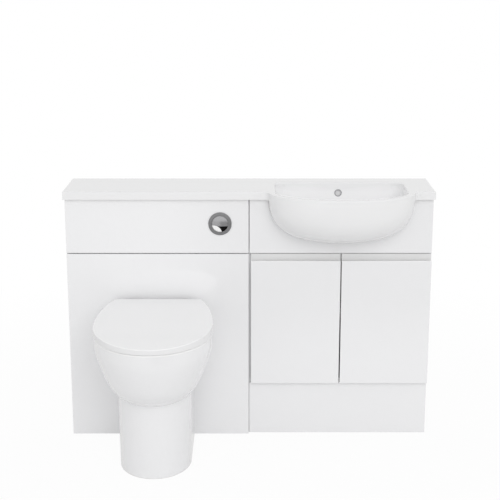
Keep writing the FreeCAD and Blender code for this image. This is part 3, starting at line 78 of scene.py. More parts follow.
class Axis(Enum):
    """The frame's axes: X to the right, Y to the wall and Z up."""

    X = "X"
    Y = "Y"
    Z = "Z"


class Facing(Enum):
    """Directions that a fixing's head can face."""

    LEFT = (-1.0, 0.0, 0.0)
    RIGHT = (1.0, 0.0, 0.0)
    FRONT = (0.0, -1.0, 0.0)
    BACK = (0.0, 1.0, 0.0)
    DOWN = (0.0, 0.0, -1.0)
    UP = (0.0, 0.0, 1.0)


class Ramp(Enum):
    """How one range of numbers is stretched over another."""

    EVEN = "LINEAR"
    SOFT = "SMOOTHSTEP"


class NodeSketch:
    """Adds and links the nodes of one tree."""

    def __init__(self, tree: bpy.types.NodeTree) -> None:
        """Keep the tree that is drawn on.

        Args:
            tree: A shader or geometry node tree.
        """
        self.tree = tree

    def node(self, kind: str, inputs: dict[str | int, Any] | None = None,
             **settings: Any) -> bpy.types.Node:
        """Add a node.

        Args:
            kind: The node's type name.
            inputs: Values or output sockets for its inputs, by name or number.
            settings: Properties of the node itself.

        Returns:
            The new node.
        """
        node = self.tree.nodes.new(kind)
        for key, value in settings.items():
            setattr(node, key, value)
        for key, value in (inputs or {}).items():
            self.feed(node.inputs[key], value)
        return node

    def add(self, kind: str, inputs: dict[str | int, Any] | None = None,
            output: str | int = 0, **settings: Any) -> Socket:
        """Add a node and return one of its outputs, the first if none is named."""
        return self.node(kind, inputs, **settings).outputs[output]

    def feed(self, socket: Socket, value: Any) -> None:
        """Link an output to an input, or set the input's own value.

        Args:
            socket: The input socket.
            value: An output socket or a plain value.
        """
        if isinstance(value, Socket):
            self.tree.links.new(value, socket)
        else:
            socket.default_value = value

    def math(self, operation: str, first: Any, second: Any) -> Socket:
        """Return the result of an operation on two numbers or output sockets."""
        return self.add("ShaderNodeMath", {0: first, 1: second}, operation=operation)


class PaintSketch(NodeSketch):
    """Adds the nodes of a material or a world."""

    # Numbers of the colour sockets of a Mix node, which share their names with others.
    first_color = 6
    second_color = 7
    mixed_color = 2

    def place(self) -> Socket:
        """Return the Object coordinates."""
        return self.add("ShaderNodeTexCoord", output="Object")

    def part(self, vector: Socket, axis: Axis) -> Socket:
        """Return a vector's part along an axis."""
        return self.add("ShaderNodeSeparateXYZ", {"Vector": vector}, axis.value)

    def noise(self, place: Socket, scale: float, detail: float) -> Socket:
        """Return a noise pattern's strength, for features per metre and finer layers."""
        return self.add("ShaderNodeTexNoise", {"Vector": place, "Scale": scale, "Detail": detail})

    def blend(self, factor: Any, first: Any, second: Any) -> Socket:
        """Return a mix of two colours, by the share of the second."""
        inputs = {"Factor": factor, self.first_color: first, self.second_color: second}
        return self.add("ShaderNodeMix", inputs, self.mixed_color, data_type="RGBA")

    def layer(self, share: Socket, under: Socket, over: Socket) -> Socket:
        """Return a mix of two shaders, by the share of the second."""
        return self.add("ShaderNodeMixShader", {"Fac": share, 1: under, 2: over})

    def spread(self, value: Socket, low: Any, high: Any, start: float = 0.0, end: float = 1.0,
               ramp: Ramp = Ramp.EVEN) -> Socket:
        """Stretch a range of numbers over another.

        Args:
            value: The number's socket.
            low: What the start of the range becomes.
            high: What the end of the range becomes.
            start: Start of the incoming range.
            end: End of the incoming range.
            ramp: How the range is stretched.

        Returns:
            The stretched number's socket.
        """
        inputs = {"Value": value, "From Min": start, "From Max": end, "To Min": low,
                  "To Max": high}
        return self.add("ShaderNodeMapRange", inputs, interpolation_type=ramp.value)


class ShapeSketch(NodeSketch):
    """Adds the nodes of a geometry tree."""

    def vector(self, **parts: Any) -> Socket:
        """Return a vector of the named parts, X, Y and Z."""
        return self.add("ShaderNodeCombineXYZ", parts)

    def share(self, size: Socket, part: float) -> Socket:
        """Return a share of a size."""
        return self.math("MULTIPLY", size, part)

    def cone(self, sides: int, bottom: Socket, top: Socket, height: Socket) -> Socket:
        """Return an upright cone from its bottom and top radius and its height."""
        return self.add("GeometryNodeMeshCone", {
            "Vertices": sides, "Radius Top": top, "Radius Bottom": bottom, "Depth": height})

    def rod(self, sides: int, radius: Socket, length: Socket) -> Socket:
        """Return an upright rod."""
        return self.add("GeometryNodeMeshCylinder", {
            "Vertices": sides, "Radius": radius, "Depth": length})

    def raised(self, shape: Socket, height: Socket) -> Socket:
        """Return a shape lifted by a height."""
        return self.add("GeometryNodeTransform", {
            "Geometry": shape, "Translation": self.vector(Z=height)})

    def set_on(self, points: Socket, shape: Socket, **turns: Socket) -> Socket:
        """Return copies of a shape on points, with a Rotation or Scale where one is given."""
        return self.add("GeometryNodeInstanceOnPoints", {
            "Points": points, "Instance": shape, **turns})

    def set_facing(self, points: Socket, shape: Socket) -> Socket:
        """Set a shape on each point, turned to the point's facing.

        Args:
            points: Socket of the points.
            shape: Socket of the shape, which looks up.

        Returns:
            The copies' socket.
        """
        facing = self.add("GeometryNodeInputNamedAttribute", {"Name": FACING_LAYER},
                          data_type="FLOAT_VECTOR")
        turn = self.add("FunctionNodeAlignRotationToVector", {"Vector": facing}, axis="Z")
        return self.set_on(points, shape, Rotation=turn)


def rgba(color: Triple) -> tuple[float, float, float, float]:
    """Return a colour with full cover."""
    return (*color, 1.0)


@dataclass
class Surface:
    """A finish while it is drawn: its tree, and the sockets of its colour, gloss and grain."""

    sketch: PaintSketch
    color: Socket
    rough: Socket
    grain: Socket

    def past(self, axis: Axis, start: float, end: float) -> Socket:
        """Return a mask of the places beyond a level, or below it if end is under start."""
        place = self.sketch.part(self.sketch.place(), axis)
        return self.sketch.spread(place, 0.0, 1.0, start, end)

    def facing(self, axis: Axis, span: Span) -> Socket:
        """Mask the faces that look along an axis.

        Args:
            axis: The axis.
            span: Shares of the axis where the mask begins and where it is full.

        Returns:
            The mask, from 0 to 1.
        """
        normal = self.sketch.add("ShaderNodeNewGeometry", output="Normal")
        return self.sketch.spread(self.sketch.part(normal, axis), 0.0, 1.0, *span)

    def cover(self, mask: Socket, color: Any, roughness: float | None = None) -> None:
        """Lay another colour over a mask.

        Args:
            mask: Where the new colour goes, from 0 to 1.
            color: The new colour or its socket.
            roughness: Least roughness of the covered places, if they are duller.
        """
        self.color = self.sketch.blend(mask, self.color, color)
        if roughness is not None:
            dull = self.sketch.math("MULTIPLY", mask, roughness)
            self.rough = self.sketch.math("MAXIMUM", self.rough, dull)


@dataclass(frozen=True)
class Finish:
    """A surface finish: its colour, its gloss, its faint clouding and its fine relief.

    Relief heights are metres, and pattern scales count features per metre.
    """

    title: str
    color: Triple
    roughness: float
    roughness_swing: float = 0.03
    shade: Triple = (0.7, 0.7, 0.69)
    cloud_scale: float = 7.0
    cloud_depth: float = 0.1
    cloud_detail: float = 3.0
    ripple_scale: float = 150.0
    ripple_height: float = 0.00003
    ripple_detail: float = 1.0
    grain_scale: float = 1400.0
    grain_height: float = 0.000004
    grain_detail: float = 2.0
    stretch: Triple = (1.0, 1.0, 1.0)
    metallic: float = 0.0
    coat: float = 0.0
    coat_roughness: float = 0.05
    ior: float = 1.5

    def build(self) -> bpy.types.Material:
        """Make the finish's material.

        Returns:
            A node material ready for any piece.
        """
        material = bpy.data.materials.new(self.title)
        material.use_nodes = True
        sketch = PaintSketch(material.node_tree)
        mapping = {"Vector": sketch.place(), "Scale": self.stretch}
        place = sketch.add("ShaderNodeMapping", mapping)
        cloud = sketch.noise(place, self.cloud_scale, self.cloud_detail)
        ripple = sketch.noise(place, self.ripple_scale, self.ripple_detail)
        grain = sketch.noise(place, self.grain_scale, self.grain_detail)
        share = sketch.math("MULTIPLY", cloud, self.cloud_depth)
        color = sketch.blend(share, rgba(self.color), rgba(self.shade))
        low = self.roughness - self.roughness_swing
        rough = sketch.spread(grain, low, self.roughness + self.roughness_swing)
        surface = Surface(sketch, color, rough, grain)
        self.weather(surface)
        waves = sketch.add("ShaderNodeBump", {"Height": ripple, "Distance": self.ripple_height})
        relief = sketch.add("ShaderNodeBump", {
            "Height": grain, "Distance": self.grain_height, "Normal": waves})
        shader = {
            "Metallic": self.metallic, "Coat Weight": self.coat, "IOR": self.ior,
            "Coat Roughness": self.coat_roughness, "Coat IOR": self.ior,
            "Base Color": surface.color, "Roughness": surface.rough, "Normal": relief}
        for name, value in shader.items():
            sketch.feed(material.node_tree.nodes["Principled BSDF"].inputs[name], value)
        return material

    def weather(self, surface: Surface) -> None:
        """Change the surface where it differs from place to place, which a plain one doesn't."""


@dataclass(frozen=True)
class Polish(Finish):
    """An evenly polished finish with hardly any relief."""

    roughness_swing: float = 0.02
    cloud_depth: float = 0.04
    ripple_scale: float = 60.0
    ripple_height: float = 0.00001
    grain_height: float = 0.000001


@dataclass(frozen=True)
class GlossLacquer(Polish):
    """White lacquer of the fronts, polished to a mirror."""

    color: Triple = WHITE
    roughness: float = 0.06
    coat: float = 1.0
    coat_roughness: float = 0.02
    ior: float = 1.65


@dataclass(frozen=True)
class RoutedDoor(GlossLacquer):
    """Lacquered door whose routed finger pull is satin and carries painted shade, as if the fascia
    above shaded it.
    """

    lip_depth: float = 0.002
    pull_drop: float = 0.034
    pull_shade_color: Triple = (0.82, 0.82, 0.82)
    pull_roughness: float = 0.35
    pull_blend: float = 0.001

    def weather(self, surface: Surface) -> None:
        """Dull the surfaces behind the door's lip and paint shade on them.

        Args:
            surface: The door's lacquer.
        """
        low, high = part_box("left_door")
        lip = low.y + self.lip_depth
        pull = high.z - self.pull_drop
        behind = surface.past(Axis.Y, lip, lip + self.pull_blend)
        above = surface.past(Axis.Z, pull, pull + self.pull_blend)
        mask = surface.sketch.math("MULTIPLY", behind, above)
        # Painted shade: a greyer colour in the finger pull stands in for the fascia's shade.
        surface.cover(mask, rgba(self.pull_shade_color), self.pull_roughness)


@dataclass(frozen=True)
class FacedBoard(Finish):
    """Faced particle board, whose back edge is left raw where only the wall sees it."""

    raw_color: Triple = (0.52, 0.4, 0.27)
    chip_color: Triple = (0.3, 0.21, 0.13)
    chip_scale: float = 420.0
    raw_roughness: float = 0.85
    raw_facing: Span = (0.97, 0.995)

    def weather(self, surface: Surface) -> None:
        """Show the board's chips on the edges that face the wall.

        Args:
            surface: The board's facing.
        """
        sketch = surface.sketch
        inputs = {"Vector": sketch.place(), "Scale": self.chip_scale}
        cells = sketch.add("ShaderNodeTexVoronoi", inputs, "Color")
        chips = sketch.blend(cells, rgba(self.raw_color), rgba(self.chip_color))
        surface.cover(surface.facing(Axis.Y, self.raw_facing), chips, self.raw_roughness)


@dataclass(frozen=True)
class CastStone(Polish):
    """Polished gel coat over a cast filler, with painted light in the bowl, matt underneath."""

    color: Triple = (0.88, 0.88, 0.885)
    roughness: float = 0.14
    cloud_scale: float = 4.0
    ripple_scale: float = 40.0
    bowl_drop: float = 0.002
    bowl_blend: float = 0.01
    bowl_light_color: Triple = (0.95, 0.95, 0.955)
    bowl_facing: Span = (0.0, 0.03)
    under_raw_and_lit_color: Triple = (0.6, 0.59, 0.56)
    under_roughness: float = 0.7
    under_facing: Span = (-0.98, -0.999)

    def weather(self, surface: Surface) -> None:
        """Paint light into the bowl, where its walls shade it, and leave the faces that look down
        without polish.

        Args:
            surface: The gel coat.
        """
        sketch = surface.sketch
        bowl_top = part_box("cast_top")[1].z - self.bowl_drop
        deep = surface.past(Axis.Z, bowl_top, bowl_top - self.bowl_blend)
        bowl = sketch.math("MULTIPLY", deep, surface.facing(Axis.Z, self.bowl_facing))
        # Painted light: a whiter colour in the bowl stands in for light that its walls keep out.
        surface.cover(bowl, rgba(self.bowl_light_color))
        under = sketch.blend(surface.grain, rgba(self.under_raw_and_lit_color), rgba(self.shade))
        surface.cover(surface.facing(Axis.Z, self.under_facing), under, self.under_roughness)


@dataclass(frozen=True)
class Glaze(Finish):
    """Fired white glaze with painted light on the rim, that stops short of the foot's bare edge.
    """

    color: Triple = (0.9, 0.9, 0.91)
    roughness: float = 0.07
    roughness_swing: float = 0.02
    cloud_depth: float = 0.04
    ripple_scale: float = 30.0
    ripple_height: float = 0.00002
    coat: float = 1.0
    coat_roughness: float = 0.03
    ior: float = 1.62
    rim_drop: float = 0.008
    rim_blend: float = 0.002
    rim_light_color: Triple = (0.99, 0.99, 0.99)
    bare_height: float = 0.0012
    bare_color: Triple = (0.62, 0.58, 0.52)
    bare_roughness: float = 0.8

    def weather(self, surface: Surface) -> None:
        """Paint light on the rim against the shade of the gap under the lid, and show the bare
        clay where the foot stands on the floor.

        Args:
            surface: The glaze.
        """
        rim_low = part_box("pan")[1].z - self.rim_drop
        rim = surface.past(Axis.Z, rim_low, rim_low + self.rim_blend)
        # Painted light: a whiter rim lightens the shaded gap under the lid and gives a painted
        # highlight line.
        surface.cover(rim, rgba(self.rim_light_color))
        foot = surface.past(Axis.Z, self.bare_height, self.bare_height / 2)
        clay = surface.sketch.blend(surface.grain, rgba(self.bare_color), rgba(self.shade))
        surface.cover(foot, clay, self.bare_roughness)


@dataclass(frozen=True)
class MouldedPlastic(Polish):
    """Polished moulding with painted shade on its upright edges and painted light on its
    underside.
    """

    color: Triple = (0.97, 0.97, 0.975)
    roughness: float = 0.1
    upright_shade_color: Triple = (0.86, 0.86, 0.865)
    edge_facing: Span = (0.75, 0.35)
    under_raw_and_lit_color: Triple = (0.99, 0.99, 0.99)
    under_facing: Span = (-0.2, -0.6)

    def weather(self, surface: Surface) -> None:
        """Paint shade on the upright faces and paint light on the underside."""
        # Painted shade: upright faces are greyed where the lamp falls on them; painted light: the
        # underside is whitened against the gap's shade.
        surface.cover(surface.facing(Axis.Z, self.edge_facing), rgba(self.upright_shade_color))
        surface.cover(surface.facing(Axis.Z, self.under_facing), rgba(self.under_raw_and_lit_color))


@dataclass(frozen=True)
class DarkReflectionDome(Finish):
    """Plated dome with a painted dark reflection below a level line."""

    color: Triple = (0.44, 0.44, 0.45)
    roughness: float = 0.2
    shade: Triple = (0.34, 0.34, 0.35)
    cloud_scale: float = 30.0
    cloud_depth: float = 0.3
    ripple_height: float = 0.000002
    grain_height: float = 0.0000006
    metallic: float = 0.8
    dark_share: float = 0.37
    dark_reflection_color: Triple = (0.004, 0.004, 0.004)
    dark_blend: float = 0.002

    def weather(self, surface: Surface) -> None:
        """Paint a dark reflection on the lower part of the dome.

        Args:
            surface: The plating.
        """
        low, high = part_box("full_flush_button")
        level = low.z + (high.z - low.z) * self.dark_share
        dark = surface.past(Axis.Z, level, level - self.dark_blend)
        # Painted reflection: a near-black band below the line stands in for something dark
        # mirrored in the plating.
        surface.cover(dark, rgba(self.dark_reflection_color))


class Look(Enum):
    """The finish of each kind of piece."""

    GLOSS_BOARD = GlossLacquer("gloss_lacquer")
    DOOR = RoutedDoor("door_lacquer")
    SIDE_BOARD = FacedBoard(
        "gloss_side", WHITE, roughness=0.08, roughness_swing=0.02, cloud_depth=0.04,
        ripple_scale=60.0, ripple_height=0.00001, coat=1.0, coat_roughness=0.03)
    CARCASS_BOARD = FacedBoard("matt_melamine", (0.84, 0.84, 0.83), **MELAMINE)
    RAIL_BOARD = Finish("rail_melamine", (0.82, 0.82, 0.81), **MELAMINE)
    CAST_TOP = CastStone("cast_stone")
    CERAMIC = Glaze("vitreous_glaze")
    SEAT_PLASTIC = MouldedPlastic("seat_plastic")
    DOME = DarkReflectionDome("button_dome")
    BEZEL = Finish(
        "satin_bezel", (0.25, 0.25, 0.255), roughness=0.42, roughness_swing=0.04,
        shade=(0.2, 0.2, 0.205), cloud_scale=30.0, cloud_depth=0.3, ripple_height=0.000002,
        metallic=0.5)
    LENS = Finish(
        "button_lens", (0.98, 0.98, 0.98), roughness=0.08, roughness_swing=0.02,
        shade=(0.9, 0.9, 0.9), cloud_scale=30.0, cloud_depth=0.05, ripple_height=0.000002,
        coat=1.0, coat_roughness=0.02, ior=1.65)
    CHROME = Finish(
        "bright_chrome", (0.52, 0.52, 0.53), roughness=0.07, shade=(0.4, 0.4, 0.41),
        cloud_scale=30.0, cloud_depth=0.3, ripple_height=0.000002, grain_height=0.0000006,
        metallic=1.0)
    WHITE_PLASTIC = Finish(
        "fitting_plastic", (0.74, 0.74, 0.72), roughness=0.38, roughness_swing=0.06,
        shade=(0.6, 0.6, 0.57), cloud_depth=0.3, ripple_scale=500.0, ripple_height=0.00006)
    STEEL = Finish(
        "zinc_plate", (0.56, 0.57, 0.58), roughness=0.32, roughness_swing=0.1,
        shade=(0.38, 0.38, 0.38), cloud_scale=60.0, cloud_depth=0.6, stretch=(1.0, 1.0, 6.0),
        grain_height=0.00001, metallic=1.0)
    GREY_RUBBER = Finish(
        "grey_rubber", (0.3, 0.3, 0.3), roughness=0.75, roughness_swing=0.1,
        shade=(0.2, 0.2, 0.2), cloud_scale=90.0, cloud_depth=0.5, grain_height=0.00003)


Palette = dict[Look, bpy.types.Material]


class NodePattern:
    """A geometry node tree with named inputs, baked to a plain mesh for each piece."""

    title = "pattern"
    sizes: dict[str, str] = {}

    def __init__(self) -> None:
        """Build the tree: its inputs, what it makes, and the closing nodes."""
        self.tree = bpy.data.node_groups.new(self.title, "GeometryNodeTree")
        self.tree.is_modifier = True
        panel = self.tree.interface
        panel.new_socket("Geometry", in_out="INPUT", socket_type="NodeSocketGeometry")
        for name, kind in {**self.sizes, "Finish": "Material"}.items():
            panel.new_socket(name, in_out="INPUT", socket_type="NodeSocket" + kind)
        panel.new_socket("Geometry", in_out="OUTPUT", socket_type="NodeSocketGeometry")
        self.sketch = ShapeSketch(self.tree)
        self.entry = self.sketch.node("NodeGroupInput").outputs
        made = self.sketch.add("GeometryNodeRealizeInstances", {"Geometry": self.draw()})
        made = self.sketch.add("GeometryNodeSetMaterial", {
            "Geometry": made, "Material": self.entry["Finish"]})
        self.sketch.node("NodeGroupOutput", {"Geometry": made})

    def draw(self) -> Socket:
        """Return the shape's socket, which each pattern makes in its own way."""
        return self.entry["Geometry"]

    def bake(self, title: str, source: bpy.types.Mesh, sizes: dict[str, Any]) -> bpy.types.Object:
        """Run the tree once and keep its plain mesh.

        Args:
            title: Name of the piece.
            source: The mesh that the tree starts from.
            sizes: Values of the named inputs.

        Returns:
            The finished piece, with its place in its mesh.
        """
        piece = bpy.data.objects.new(title, source)
        bpy.context.scene.collection.objects.link(piece)
        modifier = piece.modifiers.new(self.title, "NODES")
        modifier.node_group = self.tree
        for item in self.tree.interface.items_tree:
            if item.in_out == "INPUT" and item.name in sizes:
                modifier[item.identifier] = sizes[item.name]
        evaluated = piece.evaluated_get(bpy.context.evaluated_depsgraph_get())
        mesh = bpy.data.meshes.new_from_object(evaluated)
        mesh.name = title
        piece.modifiers.remove(modifier)
        piece.data = mesh
        return piece


class CrossHeads(NodePattern):
    """Screw heads with a cross recess, one on each point, turned to its facing."""

    title = "cross_heads"
    sizes = {"Head Radius": "Float", "Head Height": "Float", "Recess Length": "Float",
             "Recess Width": "Float", "Recess Depth": "Float"}
    sides = 24
    crown_share = 0.72
    bar_share = 2.0

    def draw(self) -> Socket:
        """Cut a cross into a low tapered head and set it on the points.

        Returns:
            The heads' socket.
        """
        sketch, entry = self.sketch, self.entry
        crown = sketch.share(entry["Head Radius"], self.crown_share)
        head = sketch.cone(self.sides, entry["Head Radius"], crown, entry["Head Height"])
        cut = sketch.node("GeometryNodeMeshBoolean", {"Mesh 1": head}, operation="DIFFERENCE")
        # The bars are centred on the head's top, so only the lower half of each one cuts.
        deep = sketch.share(entry["Recess Depth"], self.bar_share)
        across = (entry["Recess Length"], entry["Recess Width"])
        for x, y in (across, across[::-1]):
            size = sketch.vector(X=x, Y=y, Z=deep)
            bar = sketch.add("GeometryNodeMeshCube", {"Size": size})
            sketch.feed(cut.inputs["Mesh 2"], sketch.raised(bar, entry["Head Height"]))
        return sketch.set_facing(entry["Geometry"], cut.outputs[0])


class CoverCaps(NodePattern):
    """Low round caps over joint fittings, one on each point, turned to its facing."""

    title = "cover_caps"
    sizes = {"Cap Radius": "Float", "Cap Height": "Float"}
    sides = 32
    ring_share = 0.5
    step_share = 0.94
    crown_share = 0.74

    def draw(self) -> Socket:
        """Stack two tapered rings into a cap and set it on the points.

        Returns:
            The caps' socket.
        """
        sketch, entry = self.sketch, self.entry
        ring = sketch.share(entry["Cap Height"], self.ring_share)
        step = sketch.share(entry["Cap Radius"], self.step_share)
        crown = sketch.share(entry["Cap Radius"], self.crown_share)
        brim = sketch.cone(self.sides, entry["Cap Radius"], step, ring)
        top = sketch.raised(sketch.cone(self.sides, step, crown, ring), ring)
        cap = sketch.node("GeometryNodeMeshBoolean", operation="UNION")
        for solid in (brim, top):
            sketch.feed(cap.inputs["Mesh 2"], solid)
        return sketch.set_facing(entry["Geometry"], cap.outputs[0])


class GripRibs(NodePattern):
    """Rounded ribs round a hand nut, one ring at each point, about the point's facing."""

    title = "grip_ribs"
    sizes = {"Rib Count": "Int", "Ring Radius": "Float", "Rib Radius": "Float",
             "Rib Length": "Float"}
    sides = 10

    def draw(self) -> Socket:
        """Set upright ribs on a circle and put the ring on the points.

        Returns:
            The rings' socket.
        """
        sketch, entry = self.sketch, self.entry
        ring = sketch.add("GeometryNodeMeshCircle", {
            "Vertices": entry["Rib Count"], "Radius": entry["Ring Radius"]})
        rib = sketch.rod(self.sides, entry["Rib Radius"], entry["Rib Length"])
        return sketch.set_facing(entry["Geometry"], sketch.set_on(ring, rib))


class WallRibs(NodePattern):
    """A row of upright stiffening ribs along a tank wall."""

    title = "wall_ribs"
    sizes = {"Rib Count": "Int", "Rib Spacing": "Float", "Rib Length": "Float",
             "Rib Radius": "Float", "Rib Depth": "Float", "Row Start": "Vector"}
    sides = 16

    def draw(self) -> Socket:
        """Set flattened round ribs along a line.

        Returns:
            The ribs' socket.
        """
        sketch, entry = self.sketch, self.entry
        row = sketch.add("GeometryNodeMeshLine", {
            "Count": entry["Rib Count"], "Start Location": entry["Row Start"],
            "Offset": sketch.vector(X=entry["Rib Spacing"])})
        rib = sketch.rod(self.sides, entry["Rib Radius"], entry["Rib Length"])
        flat = sketch.math("DIVIDE", entry["Rib Depth"], entry["Rib Radius"])
        return sketch.set_on(row, rib, Scale=sketch.vector(X=1.0, Y=flat, Z=1.0))


class BentPipe(NodePattern):
    """A pipe swept along a path whose corners are rounded by one bend radius."""

    title = "bent_pipe"
    sizes = {"Pipe Radius": "Float", "Bend Radius": "Float"}
    sides = 40
    bend_steps = 24

    def draw(self) -> Socket:
        """Round the path's corners and sweep a circle along it.

        Returns:
            The pipe's socket.
        """
        sketch, entry = self.sketch, self.entry
        path = sketch.add("GeometryNodeMeshToCurve", {"Mesh": entry["Geometry"]})
        fillet = {"Curve": path, "Count": self.bend_steps, "Radius": entry["Bend Radius"]}
        bent = sketch.add("GeometryNodeFilletCurve", fillet, mode="POLY")
        ring = sketch.add("GeometryNodeCurvePrimitiveCircle", {
            "Resolution": self.sides, "Radius": entry["Pipe Radius"]})
        return sketch.add("GeometryNodeCurveToMesh", {
            "Curve": bent, "Profile Curve": ring, "Fill Caps": True})


@dataclass(frozen=True)
class Spot:
    """Where a small fixing sits, and which way it looks."""

    place: Vector
    facing: Facing


def spots_mesh(title: str, spots: Sequence[Spot]) -> bpy.types.Mesh:
    """Make a mesh of loose points that know which way they face.

    Args:
        title: Name of the mesh.
        spots: Place and direction of each point.

    Returns:
        A mesh with the directions in an attribute.
    """
    mesh = bpy.data.meshes.new(title)
    mesh.from_pydata([tuple(spot.place) for spot in spots], [], [])
    layer = mesh.attributes.new(FACING_LAYER, "FLOAT_VECTOR", "POINT")
    for item, spot in zip(layer.data, spots):
        item.vector = spot.facing.value
    return mesh


def settle(piece: bpy.types.Object, body: Body, replaced: Sequence[str] = ()) -> None:
    """Hand a finished piece over to its body.

    Args:
        piece: The finished piece.
        body: The body that it rides on.
        replaced: Construction nodes that it stands for.
    """
    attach(piece, body.value)
    if replaced:
        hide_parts(*replaced)
    LOG.info("%s: %d faces on %s", piece.name, len(piece.data.polygons), body.value)


def centre_of(node: str) -> Vector:
    """Return the middle of a node's box."""
    low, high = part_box(node)
    return (low + high) / 2


@dataclass
class Fixings:
    """The object's small repeated pieces and the node patterns that make them.

    The shares are of a screw head's, a cap's or a nut's radius.
    """

    palette: Palette
    head_height_share: float = 0.35
    recess_length_share: float = 1.1
    recess_width_share: float = 0.26
    recess_depth_share: float = 0.25
    cap_radius: float = 0.0085
    cap_height_share: float = 0.22
    cap_inset: float = 0.034
    cap_places: Span = (0.25, 0.75)
    rib_radius_share: float = 0.05

    def __post_init__(self) -> None:
        """Build each pattern's tree once."""
        self.cross_heads = CrossHeads()
        self.cover_caps = CoverCaps()
        self.grip_ribs = GripRibs()
        self.wall_ribs = WallRibs()
        self.bent_pipe = BentPipe()

    def screws(self, title: str, spots: Sequence[Spot], radius: float,
               body: Body = Body.FRAME) -> None:
        """Set screw heads on a body.

        Args:
            title: Name of the piece.
            spots: Where each head sits, and which way it looks.
            radius: Head radius.
            body: The body that carries the screws.
        """
        sizes = {"Head Radius": radius, "Head Height": radius * self.head_height_share,
                 "Recess Length": radius * self.recess_length_share,
                 "Recess Width": radius * self.recess_width_share,
                 "Recess Depth": radius * self.recess_depth_share,
                 "Finish": self.palette[Look.STEEL]}
        piece = self.cross_heads.bake(title, spots_mesh(title, spots), sizes)
        settle(piece, body)

    def rail_caps(self, title: str, rails: Sequence[tuple[str, Facing]]) -> None:
        """Set cover caps over the joint fittings near the ends of rails.

        Args:
            title: Name of the piece.
            rails: Each rail's node, and which face of it has the caps.
        """
        spots = []
        for rail, facing in rails:
            low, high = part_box(rail)
            face = low.y if facing is Facing.FRONT else high.y
            for x in (low.x + self.cap_inset, high.x - self.cap_inset):
                for share in self.cap_places:
                    place = Vector((x, face, low.z + (high.z - low.z) * share))
                    spots.append(Spot(place, facing))
        sizes = {"Cap Radius": self.cap_radius,
                 "Cap Height": self.cap_radius * self.cap_height_share,
                 "Finish": self.palette[Look.WHITE_PLASTIC]}
        piece = self.cover_caps.bake(title, spots_mesh(title, spots), sizes)
        settle(piece, Body.FRAME)

    def grips(self, title: str, spot: Spot, radius: float, length: float, count: int) -> None:
        """Set grip ribs round a hand nut.

        Args:
            title: Name of the piece.
            spot: Middle of the nut, and its axis.
            radius: Radius of the nut's wall.
            length: Length of the ribs.
            count: How many ribs go round.
        """
        sizes = {"Rib Count": count, "Ring Radius": radius,
                 "Rib Radius": radius * self.rib_radius_share, "Rib Length": length,
                 "Finish": self.palette[Look.WHITE_PLASTIC]}
        piece = self.grip_ribs.bake(title, spots_mesh(title, [spot]), sizes)
        settle(piece, Body.FRAME)


@dataclass
class SubAssembly:
    """A group of construction nodes that belong together."""

    palette: Palette
    fixings: Fixings
    looks: ClassVar[dict[Look, tuple[str, ...]]] = {}

    def build(self) -> None:
        """Make the pieces that the construction leaves to the dressing."""

    def dress(self) -> None:
        """Give each construction node its finish."""
        for look, nodes in self.looks.items():
            for node in nodes:
                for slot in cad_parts[node].material_slots:
                    slot.material = self.palette[look]
                LOG.info("%s: %s", node, look.value.title)


@dataclass
class CastTop(SubAssembly):
    """Worktop and basin in one casting, with the overflow ring and the push waste."""

    looks = {Look.CAST_TOP: ("cast_top",),
             Look.CHROME: ("overflow_ring", "waste_body", "waste_plug"),
             Look.WHITE_PLASTIC: ("waste_nut",)}


@dataclass
class BottleTrap(SubAssembly):
    """Bottle trap under the basin, with ribbed hand nuts."""

    looks = {Look.WHITE_PLASTIC: ("trap_inlet", "trap_body", "trap_cup", "trap_outlet")}
    nut_drop: float = 0.012
    nut_rib_length: float = 0.017
    cup_drop: float = 0.004125
    cup_rib_length: float = 0.0075
    union_length: float = 0.018
    union_radius: float = 0.027
    union_rib_length: float = 0.013
    rib_count: int = 28

    def build(self) -> None:
        """Set the grip ribs on the inlet nut, the cup's ring and the outlet's union."""
        axis = centre_of("trap_inlet")
        upright = (("trap_inlet", self.nut_drop, self.nut_rib_length),
                   ("trap_cup", self.cup_drop, self.cup_rib_length))
        for node, drop, length in upright:
            low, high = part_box(node)
            spot = Spot(Vector((axis.x, axis.y, high.z - drop)), Facing.UP)
            radius = (high.x - low.x) / 2
            self.fixings.grips(node + "_grips", spot, radius, length, self.rib_count)
        outlet = centre_of("trap_outlet")
        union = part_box("trap_body")[1].y + self.union_length / 2
        spot = Spot(Vector((outlet.x, union, outlet.z)), Facing.BACK)
        self.fixings.grips("trap_union_grips", spot, self.union_radius, self.union_rib_length,
                           self.rib_count)


